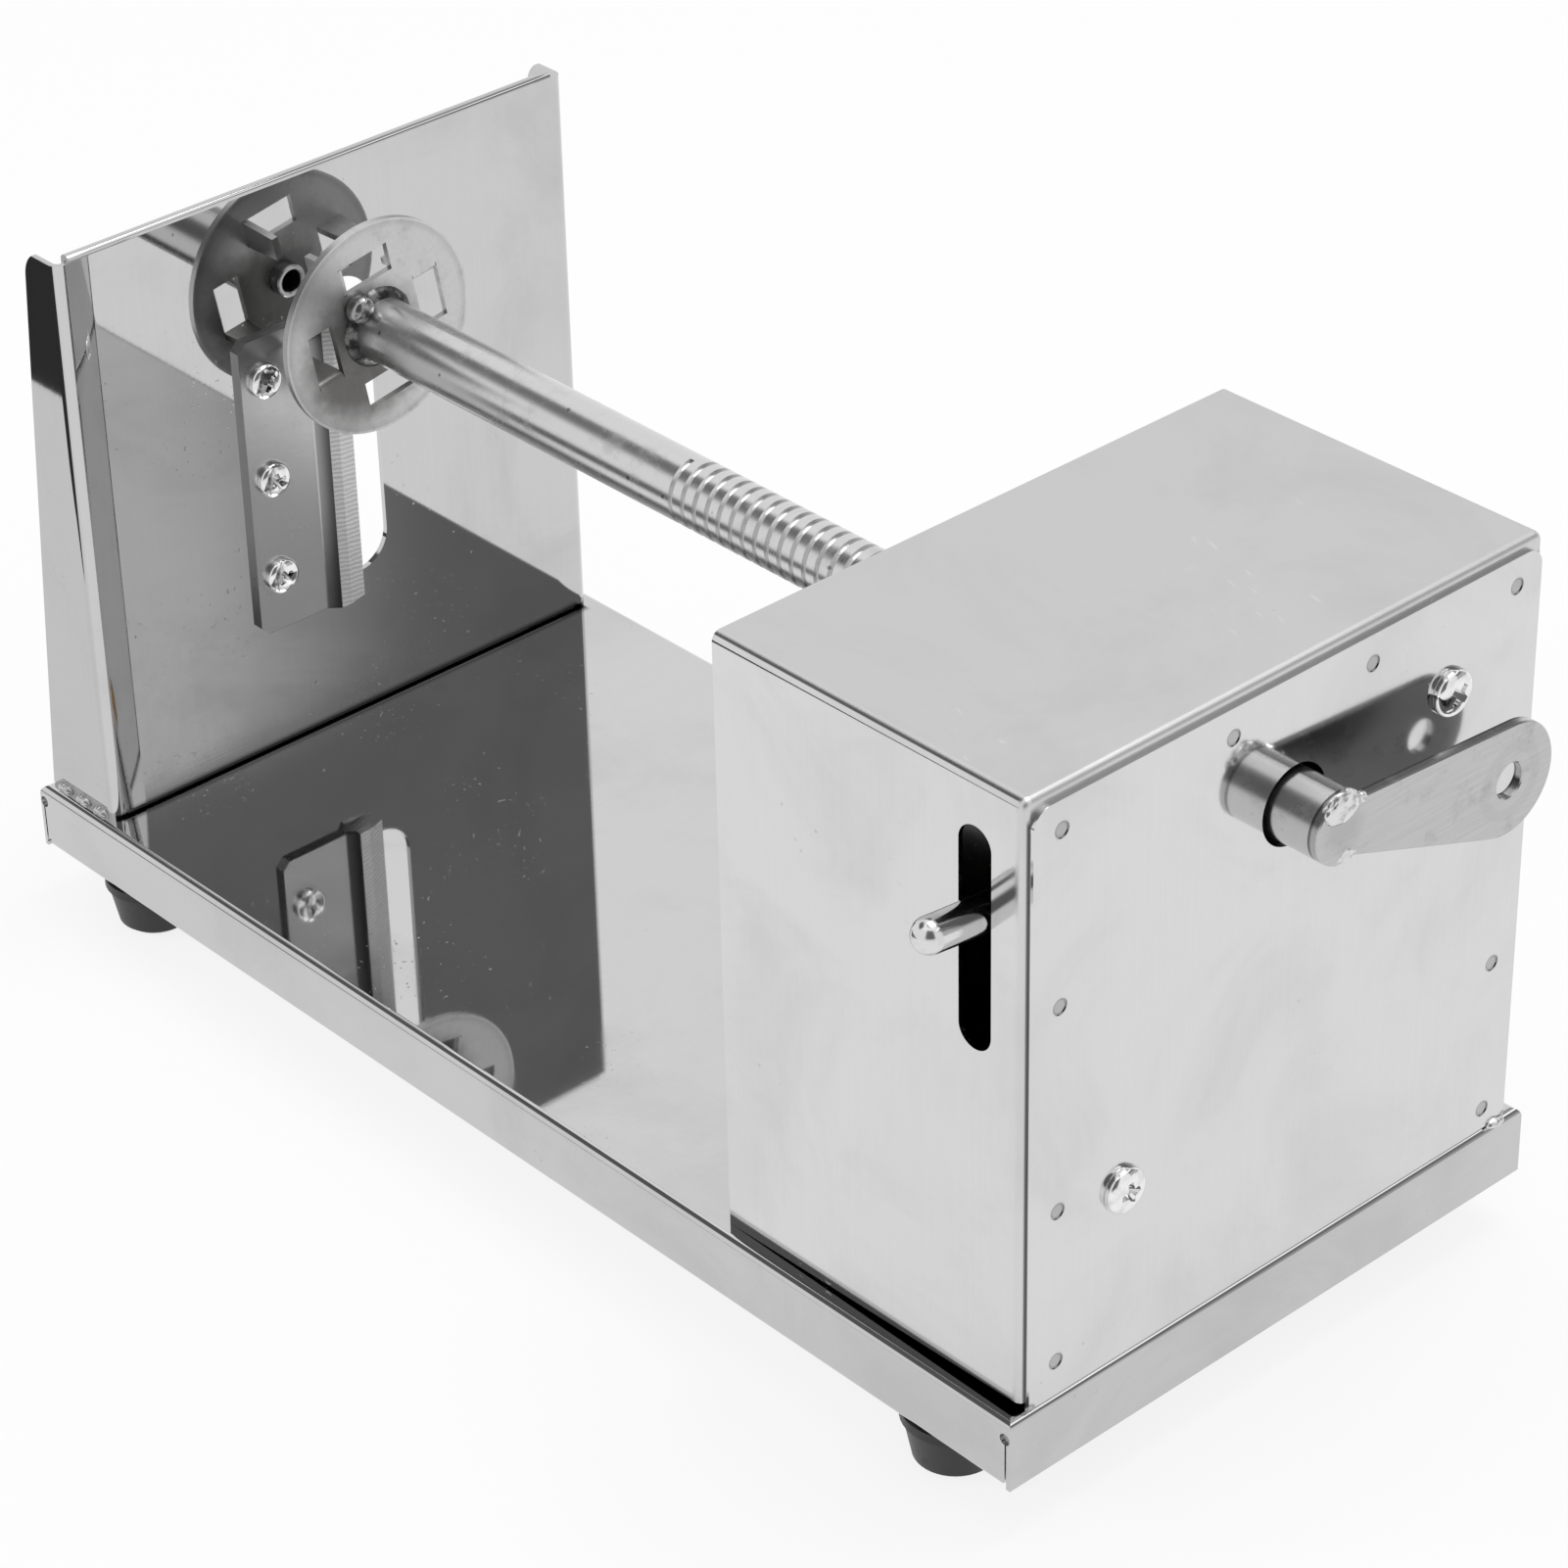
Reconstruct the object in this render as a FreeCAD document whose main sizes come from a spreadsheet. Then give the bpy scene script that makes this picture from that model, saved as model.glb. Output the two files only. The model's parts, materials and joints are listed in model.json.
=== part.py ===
import FreeCAD, Part
import math
import os
import re
import Sketcher

# A hand-cranked cutter that turns a potato on a skewer against a fixed blade. A sheet-metal tray carries a
# blade plate at one end and a housing at the other. A threaded shaft runs in the housing: a half nut on a
# sprung lever rests in its thread, so each turn of the crank feeds the potato one pitch.
#
# Lengths are in millimetres and angles in degrees. Each piece is drawn from the middle of the tray's lower
# edge: +X runs from the blade plate to the crank, +Y away from the lever, +Z up.

doc = FreeCAD.newDocument("tornado_potato_cutter")

DRIVING = {
    # tray and feet
    "tray_length": 300, "tray_width": 140, "tray_depth": 15, "tray_sheet": 1, "tray_bend": 2,
    "lip_width": 18, "lip_end_gap": 1.5, "slit_width": 0.4, "relief_radius": 1.25, "relief_drop": 3.6,
    "foot_height": 12, "foot_inset_x": 25, "foot_rim_radius": 10.5, "foot_rim_height": 2,
    "foot_top_radius": 9.9, "foot_base_radius": 8, "foot_base_round": 1.2,
    "foot_hole_radius": 4, "foot_barb_radius": 5.2, "foot_barb_height": 3, "foot_barb_taper": 1,
    "push_fit": 0.1,
    # blade plate
    "plate_inset": 23.5, "plate_side_gap": 3.25, "plate_over_axis": 32, "plate_sheet": 1.2,
    "plate_flange": 22.5, "plate_flange_top": 10.5, "plate_bend": 2.5, "plate_corner": 7,
    "plate_seat": 3.5, "plate_gap": 0.3, "plate_foot_round": 0.8,
    "hem_drop": 8, "hem_gap": 0.4, "hem_notch": 3.5, "hem_notch_drop": 1.4,
    "window_side": 3, "window_radius": 8, "window_drop": 67, "window_over_axis": 4.2,
    # blade, its screws and its nuts
    "blade_sheet": 1.4, "blade_drop": 71.6, "blade_height": 70.2, "blade_left": 25.3, "blade_bend_from": 7.2,
    "blade_bend_to": 4.8, "blade_rise": 2.1, "blade_bevel_from": 2.4, "blade_edge": 2.1,
    "blade_edge_thickness": 0.15, "blade_corner": 2, "blade_hole_clearance": 0.15, "skewer_room": 0.8,
    "blade_screw_side": 19.2, "blade_screw_drop": 58.4, "blade_screw_pitch": 23.5,
    "m4_radius": 2, "m4_length": 10, "m4_head_radius": 4, "m4_head_height": 2.4, "m4_nut_flats": 7,
    "m4_nut_height": 3.2, "screw_point": 0.4,
    # pan heads and their cross recess, as shares of the head's height and radius
    "head_rim_share": 0.25, "head_top_share": 0.62, "recess_depth_share": 0.6, "recess_reach_share": 0.52,
    "recess_slot_share": 0.13,
    # housing
    "end_inset": 0.5, "housing_length": 79, "housing_side_gap": 4, "housing_over_axis": 29,
    "housing_sheet": 1, "housing_bend": 2, "housing_edge_bend": 1.4, "housing_flange": 10,
    "housing_lift": 2, "slot_side_gap": 0.5, "slot_under_axis": 26.7, "slot_over_axis": 19.2,
    "end_side_gap": 1.2, "end_top_gap": 2.2, "end_corner": 4, "end_foot": 10, "end_foot_gap": 10.8,
    "end_hole_gap": 1.2, "spot_radius": 1.7, "spot_depth": 0.2, "spot_inset": 6.7, "spot_top_drop": 8.2,
    "spot_top_near": 16.3, "spot_top_far": 19.4, "spot_near_high": 15.3, "spot_near_mid": 59.1,
    "spot_near_foot": 8.3, "spot_far_mid": 61.5, "spot_far_foot": 5.5,
    "wall_inset": 1, "wall_flange": 10, "wall_corner": 3,
    "bush_wall": 2, "bush_flange_rim": 3, "bush_flange": 2, "bush_length": 12.5, "bush_bore_gap": 0.07,
    "bush_chamfer": 0.4,
    "ring_thickness": 1, "ring_groove_depth": 0.6, "ring_rim": 2, "ring_play": 0.05, "ring_mouth": 7,
    # shaft, disc, skewer tube and crank
    "axis_height": 101, "shaft_radius": 7, "shaft_stub": 9.7, "rest_gap": 17,
    "thread_pitch": 3.5, "thread_turns": 44, "thread_end_gap": 15.2, "thread_depth": 0.9,
    "groove_width": 1.7, "thread_overlap": 0.3,
    "disc_sheet": 1.5, "disc_radius": 23.9, "disc_turn": 10, "disc_window_gap": 1.45,
    "disc_window_radial": 6.5, "disc_window_across": 13, "prong_length": 10,
    "prong_tip_width": 5.2, "prong_root_width": 6.2, "prong_bend": 1.2,
    "disc_weld_leg": 2.5, "disc_bead_radius": 3.2, "disc_bead_turn": 140,
    "tube_radius": 3.7, "tube_bore_radius": 2.5, "tube_stand_out": 3, "tube_length": 23, "tube_fit": 0.05,
    "tube_end_play": 4, "tube_chamfer": 0.3,
    "arm_sheet": 2, "arm_reach": 46.2, "arm_turn": 12.1, "arm_end_radius": 11.7, "arm_neck_gap": 1.8,
    "arm_edge": 0.3, "handle_hole_radius": 3.5,
    # release lever, half nut and pivot
    "lever_setback": 12.8, "rod_radius": 3.5, "rod_bend": 12, "rod_flat": 12, "rod_low_side": 36,
    "slot_cross": 0.9, "lever_tilt": 6, "lever_stand_out": 14,
    "nut_length": 12, "nut_wall": 5, "nut_skirt": 3.5, "thread_gap": 0.22,
    "pivot_side": 41, "pivot_over_axis": 6, "sleeve_radius": 5, "sleeve_fit": 0.06, "sleeve_play": 0.3,
    "anchor_side": 41.7, "anchor_drop": 62.5,
    "m5_radius": 2.5, "m5_length": 25, "m5_head_radius": 4.75, "m5_head_height": 2.5,
    "m5_hole_clearance": 0.1, "m5_nut_flats": 8, "m5_nut_height": 4, "m5_nut_fit": 0.05, "m5_tail": 2,
    "spring_wire": 1.2, "spring_radius": 3.9, "spring_turns": 7, "spring_pitch": 5, "hook_gap": 0.3,
    # welds: legs, lengths and places of the beads, and radii of the lumps
    "plate_bead": 1.3, "plate_bead_inset": 2, "plate_bead_length": 5, "plate_bead_step": 6.5,
    "housing_bead": 3, "housing_bead_length": 14, "housing_bead_side": 40, "corner_bead_length": 5,
    "arm_weld_leg": 1.6, "arm_weld_sweep": 84, "arm_lump_radius": 1.6, "arm_lump_gap": 0.9,
    "arm_lump_lift": 0.3,
    "lever_weld_half": 6, "lever_weld_leg": 1.5, "collar_rim": 0.1, "collar_overlap": 1,
}
DERIVED = {
    "foot_inset_y": "foot_rim_radius",
    "axis_z": "tray_depth + axis_height",
    "plate_front": "-tray_length / 2 + plate_inset",
    "plate_half_width": "tray_width / 2 - plate_side_gap",
    "plate_top": "axis_z + plate_over_axis",
    "window_foot": "axis_z - window_drop",
    "blade_low": "axis_z - blade_drop",
    "blade_screw_low": "axis_z - blade_screw_drop",
    "end_face": "tray_length / 2 - end_inset",
    "end_back": "end_face - housing_sheet",
    "housing_front": "end_face - housing_length",
    "housing_half_width": "tray_width / 2 - housing_side_gap",
    "housing_top": "axis_z + housing_over_axis",
    "wall_face": "housing_front + wall_inset",
    "slot_width": "2 * (rod_radius + slot_side_gap)",
    "slot_low": "axis_z - slot_under_axis",
    "slot_high": "axis_z + slot_over_axis",
    "end_half_width": "housing_half_width - end_side_gap",
    "end_foot_half": "end_half_width - end_foot_gap",
    "end_hole_radius": "shaft_radius + end_hole_gap",
    "bush_radius": "shaft_radius + bush_wall",
    "bush_flange_radius": "bush_radius + bush_flange_rim",
    "ring_radius": "bush_radius + ring_rim",
    "shaft_end": "end_face + shaft_stub",
    "shaft_start": "plate_front + rest_gap",
    "disc_front": "shaft_start - disc_sheet",
    "disc_window_mid": "shaft_radius + disc_weld_leg + disc_window_gap + disc_window_radial / 2",
    "tube_start": "disc_front - tube_stand_out",
    "thread_end": "shaft_end - thread_end_gap",
    "thread_start": "thread_end - thread_turns * thread_pitch",
    "arm_face": "shaft_end + arm_sheet",
    "arm_neck_radius": "shaft_radius - arm_neck_gap",
    "lever_x": "end_face - lever_setback",
    "lever_reach": "housing_half_width + lever_stand_out",
    "nut_flats": "2 * (shaft_radius + nut_wall)",
    "nut_start": "lever_x - nut_length / 2",
    "pivot_z": "axis_z + pivot_over_axis",
    "anchor_z": "axis_z - anchor_drop",
    "screw_tip": "end_face - m5_length",
    "lock_nut_start": "screw_tip + m5_tail",
    "origin_x": "-(arm_face - tray_length / 2) / 2",
    "origin_y": "(lever_reach - tray_width / 2) / 2",
    "origin_z": "foot_height",
}
FUNCTIONS = ("sqrt", "cos", "sin", "tan", "floor")

sheet = doc.addObject("Spreadsheet::Sheet", "sizes")
for row, (name, number) in enumerate({**DRIVING, **DERIVED}.items(), start=1):
    sheet.set(f"A{row}", name)
    sheet.set(f"B{row}", f"={number}" if name in DERIVED else str(number))
    sheet.setAlias(f"B{row}", name)
doc.recompute()


def size(name):
    return float(getattr(sheet, name))


def bound(text):
    """An expression over the sheet: every word in it that isn't a function is one of its names."""
    return re.sub(r"[a-z_]\w*", lambda word: word[0] if word[0] in FUNCTIONS else "sizes." + word[0], text)


# ---- the steps that the pieces share ----


pieces = []


def sub_part(label, z="0", turn=None):
    """A body whose own origin stands over the middle of the tray, z above its lower edge."""
    body = doc.addObject("PartDesign::Body", label)
    pieces.append(body)
    body.Label = label
    body.AllowCompound = True
    if turn is not None:
        body.Placement = FreeCAD.Placement(FreeCAD.Vector(), FreeCAD.Rotation(FreeCAD.Vector(1, 0, 0), 1))
        body.setExpression("Placement.Rotation.Angle", bound(turn))
    body.setExpression("Placement.Base.x", "sizes.origin_x")
    body.setExpression("Placement.Base.y", "sizes.origin_y")
    body.setExpression("Placement.Base.z", bound(f"origin_z + {z}"))
    return body


def datum(body, role):
    """A plane or an axis of the body's own origin."""
    return [found for found in body.Origin.OriginFeatures if found.Role == role][0]


def sketch(body, role, at="0", shift=("0", "0")):
    """A sketch on the plane that lies at a place along the axis it crosses, its own origin shifted in it."""
    made = body.newObject("Sketcher::SketchObject", "sketch")
    made.AttachmentSupport = [(datum(body, role), "")]
    made.MapMode = "FlatFace"
    along = f"-({at})" if role == "XZ_Plane" else at
    for axis, text in (("x", shift[0]), ("y", shift[1]), ("z", along)):
        made.setExpression("AttachmentOffset.Base." + axis, bound(text))
    return made


def dimension(made, kind, geometry, point, text):
    if point is None:
        index = made.addConstraint(Sketcher.Constraint(kind, geometry, 1.0))
    else:
        index = made.addConstraint(Sketcher.Constraint(kind, -1, 1, geometry, point, 1.0))
    made.setExpression(f"Constraints[{index}]", bound(text))


def outline(made, corners):
    """A closed line through the corners, each corner bound to the sheet."""
    first, count = made.GeometryCount, len(corners)
    turns = [2 * math.pi * k / count for k in range(count)]
    spots = [FreeCAD.Vector(math.cos(turn), math.sin(turn), 0) for turn in turns]
    for k in range(count):
        made.addGeometry(Part.LineSegment(spots[k], spots[(k + 1) % count]))
    for k in range(count):
        made.addConstraint(Sketcher.Constraint("Coincident", first + k, 2, first + (k + 1) % count, 1))
    for k, (u, v) in enumerate(corners):
        dimension(made, "DistanceX", first + k, 1, u)
        dimension(made, "DistanceY", first + k, 1, v)


def rectangle(made, u_low, v_low, u_high, v_high):
    outline(made, [(u_low, v_low), (u_high, v_low), (u_high, v_high), (u_low, v_high)])


def circle(made, u, v, radius):
    index = made.addGeometry(Part.Circle(FreeCAD.Vector(), FreeCAD.Vector(0, 0, 1), 1))
    dimension(made, "DistanceX", index, 3, u)
    dimension(made, "DistanceY", index, 3, v)
    dimension(made, "Radius", index, None, radius)


def band(made, centre_a, radius_a, centre_b, radius_b):
    """The outline of a band round two circles: two arcs and the two lines that touch both."""
    up = FreeCAD.Vector(0, 0, 1)
    low = Part.ArcOfCircle(Part.Circle(FreeCAD.Vector(), up, 1), math.pi, 2 * math.pi)
    right = Part.LineSegment(FreeCAD.Vector(1, 0, 0), FreeCAD.Vector(1, 10, 0))
    high = Part.ArcOfCircle(Part.Circle(FreeCAD.Vector(0, 10, 0), up, 1), 0, math.pi)
    left = Part.LineSegment(FreeCAD.Vector(-1, 10, 0), FreeCAD.Vector(-1, 0, 0))
    first = made.GeometryCount
    for piece in (low, right, high, left):
        made.addGeometry(piece)
    for k in range(4):
        made.addConstraint(Sketcher.Constraint("Tangent", first + k, 2, first + (k + 1) % 4, 1))
    for arc, (u, v), radius in ((first, centre_a, radius_a), (first + 2, centre_b, radius_b)):
        dimension(made, "DistanceX", arc, 3, u)
        dimension(made, "DistanceY", arc, 3, v)
        dimension(made, "Radius", arc, None, radius)


def hexagon(made, u, v, flats):
    """A hexagon with two flats level, round a centre, by its width across flats."""
    half, tall = f"({flats}) / 2", f"({flats}) / 2 / sqrt(3)"
    outline(made, [(f"{u} + {side} * ({across})", f"{v} + {lift} * ({up})") for side, across, lift, up in (
        (1, f"2 * {tall}", 0, "0"), (1, tall, 1, half), (-1, tall, 1, half),
        (-1, f"2 * {tall}", 0, "0"), (-1, tall, -1, half), (1, tall, -1, half))])


def feature(body, kind, name, **settings):
    """A PartDesign feature: texts are bound to the sheet, everything else is set as it stands."""
    made = body.newObject("PartDesign::" + kind, name)
    for setting, what in settings.items():
        if isinstance(what, str) and setting not in ("Type", "Mode"):
            made.setExpression(setting, bound(what))
        else:
            setattr(made, setting, what)
    doc.recompute()
    if made.Shape.isNull() or "Invalid" in made.State or "Error" in made.State:
        raise RuntimeError(f"{body.Label}: {name} failed: {made.getStatusString()}")
    return made


def pad(body, profile, length, middle=False, name="pad"):
    return feature(body, "Pad", name, Profile=profile, Length=length, Midplane=middle)


def cut(body, profile, length, name="cut", middle=True, back=False):
    """A pocket of this length, half to each side of its sketch unless it runs one way."""
    before = body.Tip.Shape.Volume
    made = feature(body, "Pocket", name, Profile=profile, Length=length, Midplane=middle, Reversed=back)
    if made.Shape.Volume > before - 1e-4:
        raise RuntimeError(f"{body.Label}: {name} cuts nothing")
    return made


def revolve(body, profile, axis, name="turned", sweep=360, middle=False):
    return feature(body, "Revolution", name, Profile=profile, ReferenceAxis=(profile, [axis]), Angle=sweep,
                   Midplane=middle)


def edges(solid, **places):
    """Names of the solid's edges that lie at each place: a number, or a low and a high bound."""
    found = []
    for index, edge in enumerate(solid.Shape.Edges, start=1):
        box = edge.optimalBoundingBox(False) if hasattr(edge, "optimalBoundingBox") else edge.BoundBox
        for axis, place in places.items():
            low, high = place if isinstance(place, tuple) else (place, place)
            inside = getattr(box, axis.upper() + "Min") > low - 0.01
            if not inside or getattr(box, axis.upper() + "Max") > high + 0.01:
                break
        else:
            found.append(f"Edge{index}")
    return found


def fillet(body, names, radius, name="round"):
    return feature(body, "Fillet", name, Base=(body.Tip, names), Radius=radius)


def chamfer(body, names, width, name="chamfer"):
    return feature(body, "Chamfer", name, Base=(body.Tip, names), Size=width)


def pan_screws(label, places, face, size_name):
    """Pan-head screws along X with a cross recess. Each head lies on the face and its shank runs to -X."""
    body = sub_part(label)
    shank, length = f"{size_name}_radius", f"{size_name}_length"
    head, height = f"{size_name}_head_radius", f"{size_name}_head_height"
    for y, z in places:
        profile = sketch(body, "XZ_Plane", at=y, shift=("0", z))
        outline(profile, [
            (f"{face} - {length}", "0"), (f"{face} - {length}", f"{shank} - screw_point"),
            (f"{face} - {length} + screw_point", shank), (face, shank), (face, head),
            (f"{face} + head_rim_share * {height}", head), (f"{face} + {height}", f"head_top_share * {head}"),
            (f"{face} + {height}", "0")])
        revolve(body, profile, "H_Axis", "screw")
    recess = sketch(body, "YZ_Plane", at=f"{face} + {height}")
    long, slim = f"recess_reach_share * {head}", f"recess_slot_share * {head}"
    for y, z in places:
        arms = [(slim, slim), (long, slim), (long, f"-{slim}"), (slim, f"-{slim}"), (slim, f"-{long}"),
                (f"-{slim}", f"-{long}"), (f"-{slim}", f"-{slim}"), (f"-{long}", f"-{slim}"),
                (f"-{long}", slim), (f"-{slim}", slim), (f"-{slim}", long), (slim, long)]
        outline(recess, [(f"{y} + {u}", f"{z} + {v}") for u, v in arms])
    cut(body, recess, f"2 * recess_depth_share * {height}", "recess")
    return body


def hex_nuts(label, places, starts, size_name, bore_gap):
    """Hexagon nuts along X, one at each place for each start, each from its start towards +X."""
    body = sub_part(label)
    for start in starts:
        profile = sketch(body, "YZ_Plane", at=start)
        for y, z in places:
            hexagon(profile, y, z, f"{size_name}_nut_flats")
            circle(profile, y, z, f"{size_name}_radius + {bore_gap}")
        pad(body, profile, f"{size_name}_nut_height", name="nuts")
    return body


def bead(start, direction, length, leg, out):
    """A fillet weld along an edge, between the face that leads outwards and the one square to it."""
    along, out = FreeCAD.Vector(*direction), FreeCAD.Vector(*out)
    corners = [start, start + out * leg, start + along.cross(out) * leg]
    return Part.Face(Part.makePolygon(corners + corners[:1])).extrude(along * length)


def placed_feature(label, solids):
    made = doc.addObject("Part::Feature", label)
    pieces.append(made)
    made.Label = label
    made.Shape = Part.makeCompound(solids) if len(solids) > 1 else solids[0]
    made.Placement = FreeCAD.Placement(
        FreeCAD.Vector(size("origin_x"), size("origin_y"), size("origin_z")), FreeCAD.Rotation())
    return made


# ---- tray: one folded pan, open below, with a return lip along each long side ----

tray = sub_part("base_tray")
blank = sketch(tray, "XY_Plane")
rectangle(blank, "-tray_length / 2", "-tray_width / 2", "tray_length / 2", "tray_width / 2")
pad(tray, blank, "tray_depth")
fillet(tray, edges(tray.Tip, z=size("tray_depth")), "tray_bend", "top_bends")
underside = [f"Face{k}" for k, face in enumerate(tray.Tip.Shape.Faces, start=1) if face.BoundBox.ZMax < 0.01]
feature(tray, "Thickness", "pan", Base=(tray.Tip, underside), Value="tray_sheet", Reversed=True, Join=0)
lips = sketch(tray, "XY_Plane")
lip_end = "(tray_length / 2 - tray_sheet - lip_end_gap)"
for side in ("-1", "1"):
    rectangle(lips, f"-{lip_end}", f"{side} * tray_width / 2 - {side} * tray_sheet / 2",
              lip_end, f"{side} * (tray_width / 2 - lip_width)")
pad(tray, lips, "tray_sheet", name="lips")
for side in ("-1", "1"):
    notches = sketch(tray, "XZ_Plane", at=f"{side} * tray_width / 2")
    for end in ("-1", "1"):
        rectangle(notches, f"{end} * {lip_end}", "-1", f"{end} * (tray_length / 2 - tray_sheet)", "tray_bend")
    cut(tray, notches, "2.4 * tray_sheet", "lip_notches")
half_width, lip_reach = size("tray_width") / 2, size("tray_length") / 2 - size("tray_sheet")
for side in (-half_width, half_width):
    fillet(tray, edges(tray.Tip, x=(-lip_reach, lip_reach), y=side, z=0), "0.8 * tray_bend", "lip_bend")
foot_holes = sketch(tray, "XY_Plane")
FOOT_PLACES = [(f"{end} * (tray_length / 2 - foot_inset_x)", f"{side} * (tray_width / 2 - foot_inset_y)")
               for end in (-1, 1) for side in (-1, 1)]
for x, y in FOOT_PLACES:
    circle(foot_holes, x, y, "foot_hole_radius")
cut(tray, foot_holes, "3 * tray_sheet", "foot_holes")
for side in ("-1", "1"):
    slits = sketch(tray, "XZ_Plane", at=f"{side} * tray_width / 2")
    reliefs = sketch(tray, "XZ_Plane", at=f"{side} * tray_width / 2")
    for end in (-1, 1):
        rectangle(slits, f"{end} * (tray_length / 2 - tray_sheet - slit_width)", "-1",
                  f"{end} * (tray_length / 2 - tray_sheet)", "tray_depth - relief_drop")
        circle(reliefs, f"{end} * (tray_length / 2 - tray_sheet - slit_width)", "tray_depth - relief_drop",
               "relief_radius")
    cut(tray, slits, "2.4 * tray_sheet", "corner_slits")
    cut(tray, reliefs, "2.4 * tray_sheet", "corner_reliefs")

# ---- feet: moulded rubber, each pushed through its hole until the barb springs open above the lip ----

feet = sub_part("rubber_feet")
for x, y in FOOT_PLACES:
    profile = sketch(feet, "XZ_Plane", at=y, shift=(x, "0"))
    neck, barb_top = "(foot_hole_radius - push_fit)", "tray_sheet + foot_barb_height"
    outline(profile, [
        ("0", "-foot_height"), ("foot_base_radius", "-foot_height"), ("foot_top_radius", "-foot_rim_height"),
        ("foot_rim_radius", "-foot_rim_height"), ("foot_rim_radius", "0"), (neck, "0"),
        (neck, "tray_sheet"), ("foot_barb_radius", "tray_sheet"),
        (f"{neck} - foot_barb_taper", barb_top), ("0", barb_top)])
    revolve(feet, profile, "V_Axis", "foot")
chamfer(feet, edges(feet.Tip, z=-size("foot_height")), "foot_base_round", "base_edge")

# ---- blade plate: a panel with two side flanges that taper upwards and a folded hem along its top ----

plate = sub_part("blade_plate")
section = sketch(plate, "XY_Plane", at="tray_depth")
outline(section, [
    ("plate_front - plate_flange", "-plate_half_width"), ("plate_front", "-plate_half_width"),
    ("plate_front", "plate_half_width"), ("plate_front - plate_flange", "plate_half_width"),
    ("plate_front - plate_flange", "plate_half_width - plate_sheet"),
    ("plate_front - plate_sheet", "plate_half_width - plate_sheet"),
    ("plate_front - plate_sheet", "-plate_half_width + plate_sheet"),
    ("plate_front - plate_flange", "-plate_half_width + plate_sheet")])
pad(plate, section, "plate_top - tray_depth")
front, sheet_gauge, plate_side = size("plate_front"), size("plate_sheet"), size("plate_half_width")
for x, y, radius in ((front, plate_side, "plate_bend"),
                     (front - sheet_gauge, plate_side - sheet_gauge, "plate_bend - plate_sheet")):
    fillet(plate, edges(plate.Tip, x=x, y=y) + edges(plate.Tip, x=x, y=-y), radius, "side_bends")
taper = sketch(plate, "XZ_Plane")
outline(taper, [
    ("plate_front - plate_flange", "tray_depth"), ("plate_front - plate_flange_top", "plate_top"),
    ("plate_front - plate_flange_top", "plate_top + 5"), ("plate_front - plate_flange - 5", "plate_top + 5"),
    ("plate_front - plate_flange - 5", "tray_depth")])
cut(plate, taper, "3 * plate_half_width", "flange_taper")
fillet(plate, edges(plate.Tip, x=front - size("plate_flange_top"), z=size("plate_top")), "plate_corner")
notches = sketch(plate, "YZ_Plane", at="plate_front")
rectangle(notches, "-plate_half_width - 1", "plate_top - hem_notch_drop",
          "-plate_half_width + hem_notch", "plate_top + 1")
rectangle(notches, "plate_half_width - hem_notch", "plate_top - hem_notch_drop",
          "plate_half_width + 1", "plate_top + 1")
cut(plate, notches, "4 * plate_flange", "hem_notches")
hem = sketch(plate, "XZ_Plane")
outline(hem, [
    ("plate_front - plate_sheet / 2", "plate_top"),
    ("plate_front - plate_sheet / 2", "plate_top - plate_sheet"),
    ("plate_front - plate_sheet - hem_gap", "plate_top - plate_sheet"),
    ("plate_front - plate_sheet - hem_gap", "plate_top - hem_drop"),
    ("plate_front - 2 * plate_sheet - hem_gap", "plate_top - hem_drop"),
    ("plate_front - 2 * plate_sheet - hem_gap", "plate_top")])
pad(plate, hem, "2 * (plate_half_width - hem_notch)", middle=True, name="hem")
hem_back = front - 2 * sheet_gauge - size("hem_gap")
fillet(plate, edges(plate.Tip, x=front, z=size("plate_top")), "plate_sheet", "hem_front")
fillet(plate, edges(plate.Tip, x=hem_back, z=size("plate_top")), "plate_sheet", "hem_back")
foot_gap = sketch(plate, "YZ_Plane", at="plate_front - plate_sheet / 2")
rectangle(foot_gap, "-plate_half_width + plate_seat", "tray_depth - 1",
          "plate_half_width - plate_seat", "tray_depth + plate_gap")
cut(plate, foot_gap, "3 * plate_sheet", "foot_gap")
foot_edge = edges(plate.Tip, x=front, z=size("tray_depth") + size("plate_gap"))
fillet(plate, foot_edge, "plate_foot_round", "foot_edge")
window = sketch(plate, "YZ_Plane", at="plate_front")
band(window, ("window_side", "window_foot + window_radius"), "window_radius",
     ("window_side", "axis_z + window_over_axis - window_radius"), "window_radius")
cut(plate, window, "4 * plate_sheet", "window")
BLADE_PLACES = [("-blade_screw_side", f"blade_screw_low + {k} * blade_screw_pitch") for k in range(3)]
screw_holes = sketch(plate, "YZ_Plane", at="plate_front")
for y, z in BLADE_PLACES:
    circle(screw_holes, y, z, "m4_radius + blade_hole_clearance")
cut(plate, screw_holes, "4 * plate_sheet", "screw_holes")

# ---- blade: one strip, stepped off the plate, its edge ground on the side that meets the potato ----

blade = sub_part("blade")
strip = sketch(blade, "XY_Plane", at="blade_low")
outline(strip, [
    ("plate_front", "-blade_left"), ("plate_front + blade_sheet", "-blade_left"),
    ("plate_front + blade_sheet", "-blade_bend_from - 0.4"),
    ("plate_front + blade_sheet + blade_rise", "-blade_bend_to - 0.4"),
    ("plate_front + blade_sheet + blade_rise", "-blade_bevel_from"),
    ("plate_front + blade_rise + blade_edge_thickness", "blade_edge"),
    ("plate_front + blade_rise", "blade_edge"), ("plate_front + blade_rise", "-blade_bend_to"),
    ("plate_front", "-blade_bend_from")])
pad(blade, strip, "blade_height")
for end in (size("blade_low"), size("blade_low") + size("blade_height")):
    chamfer(blade, edges(blade.Tip, y=-size("blade_left"), z=end), "blade_corner", "corner")
blade_holes = sketch(blade, "YZ_Plane", at="plate_front")
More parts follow.
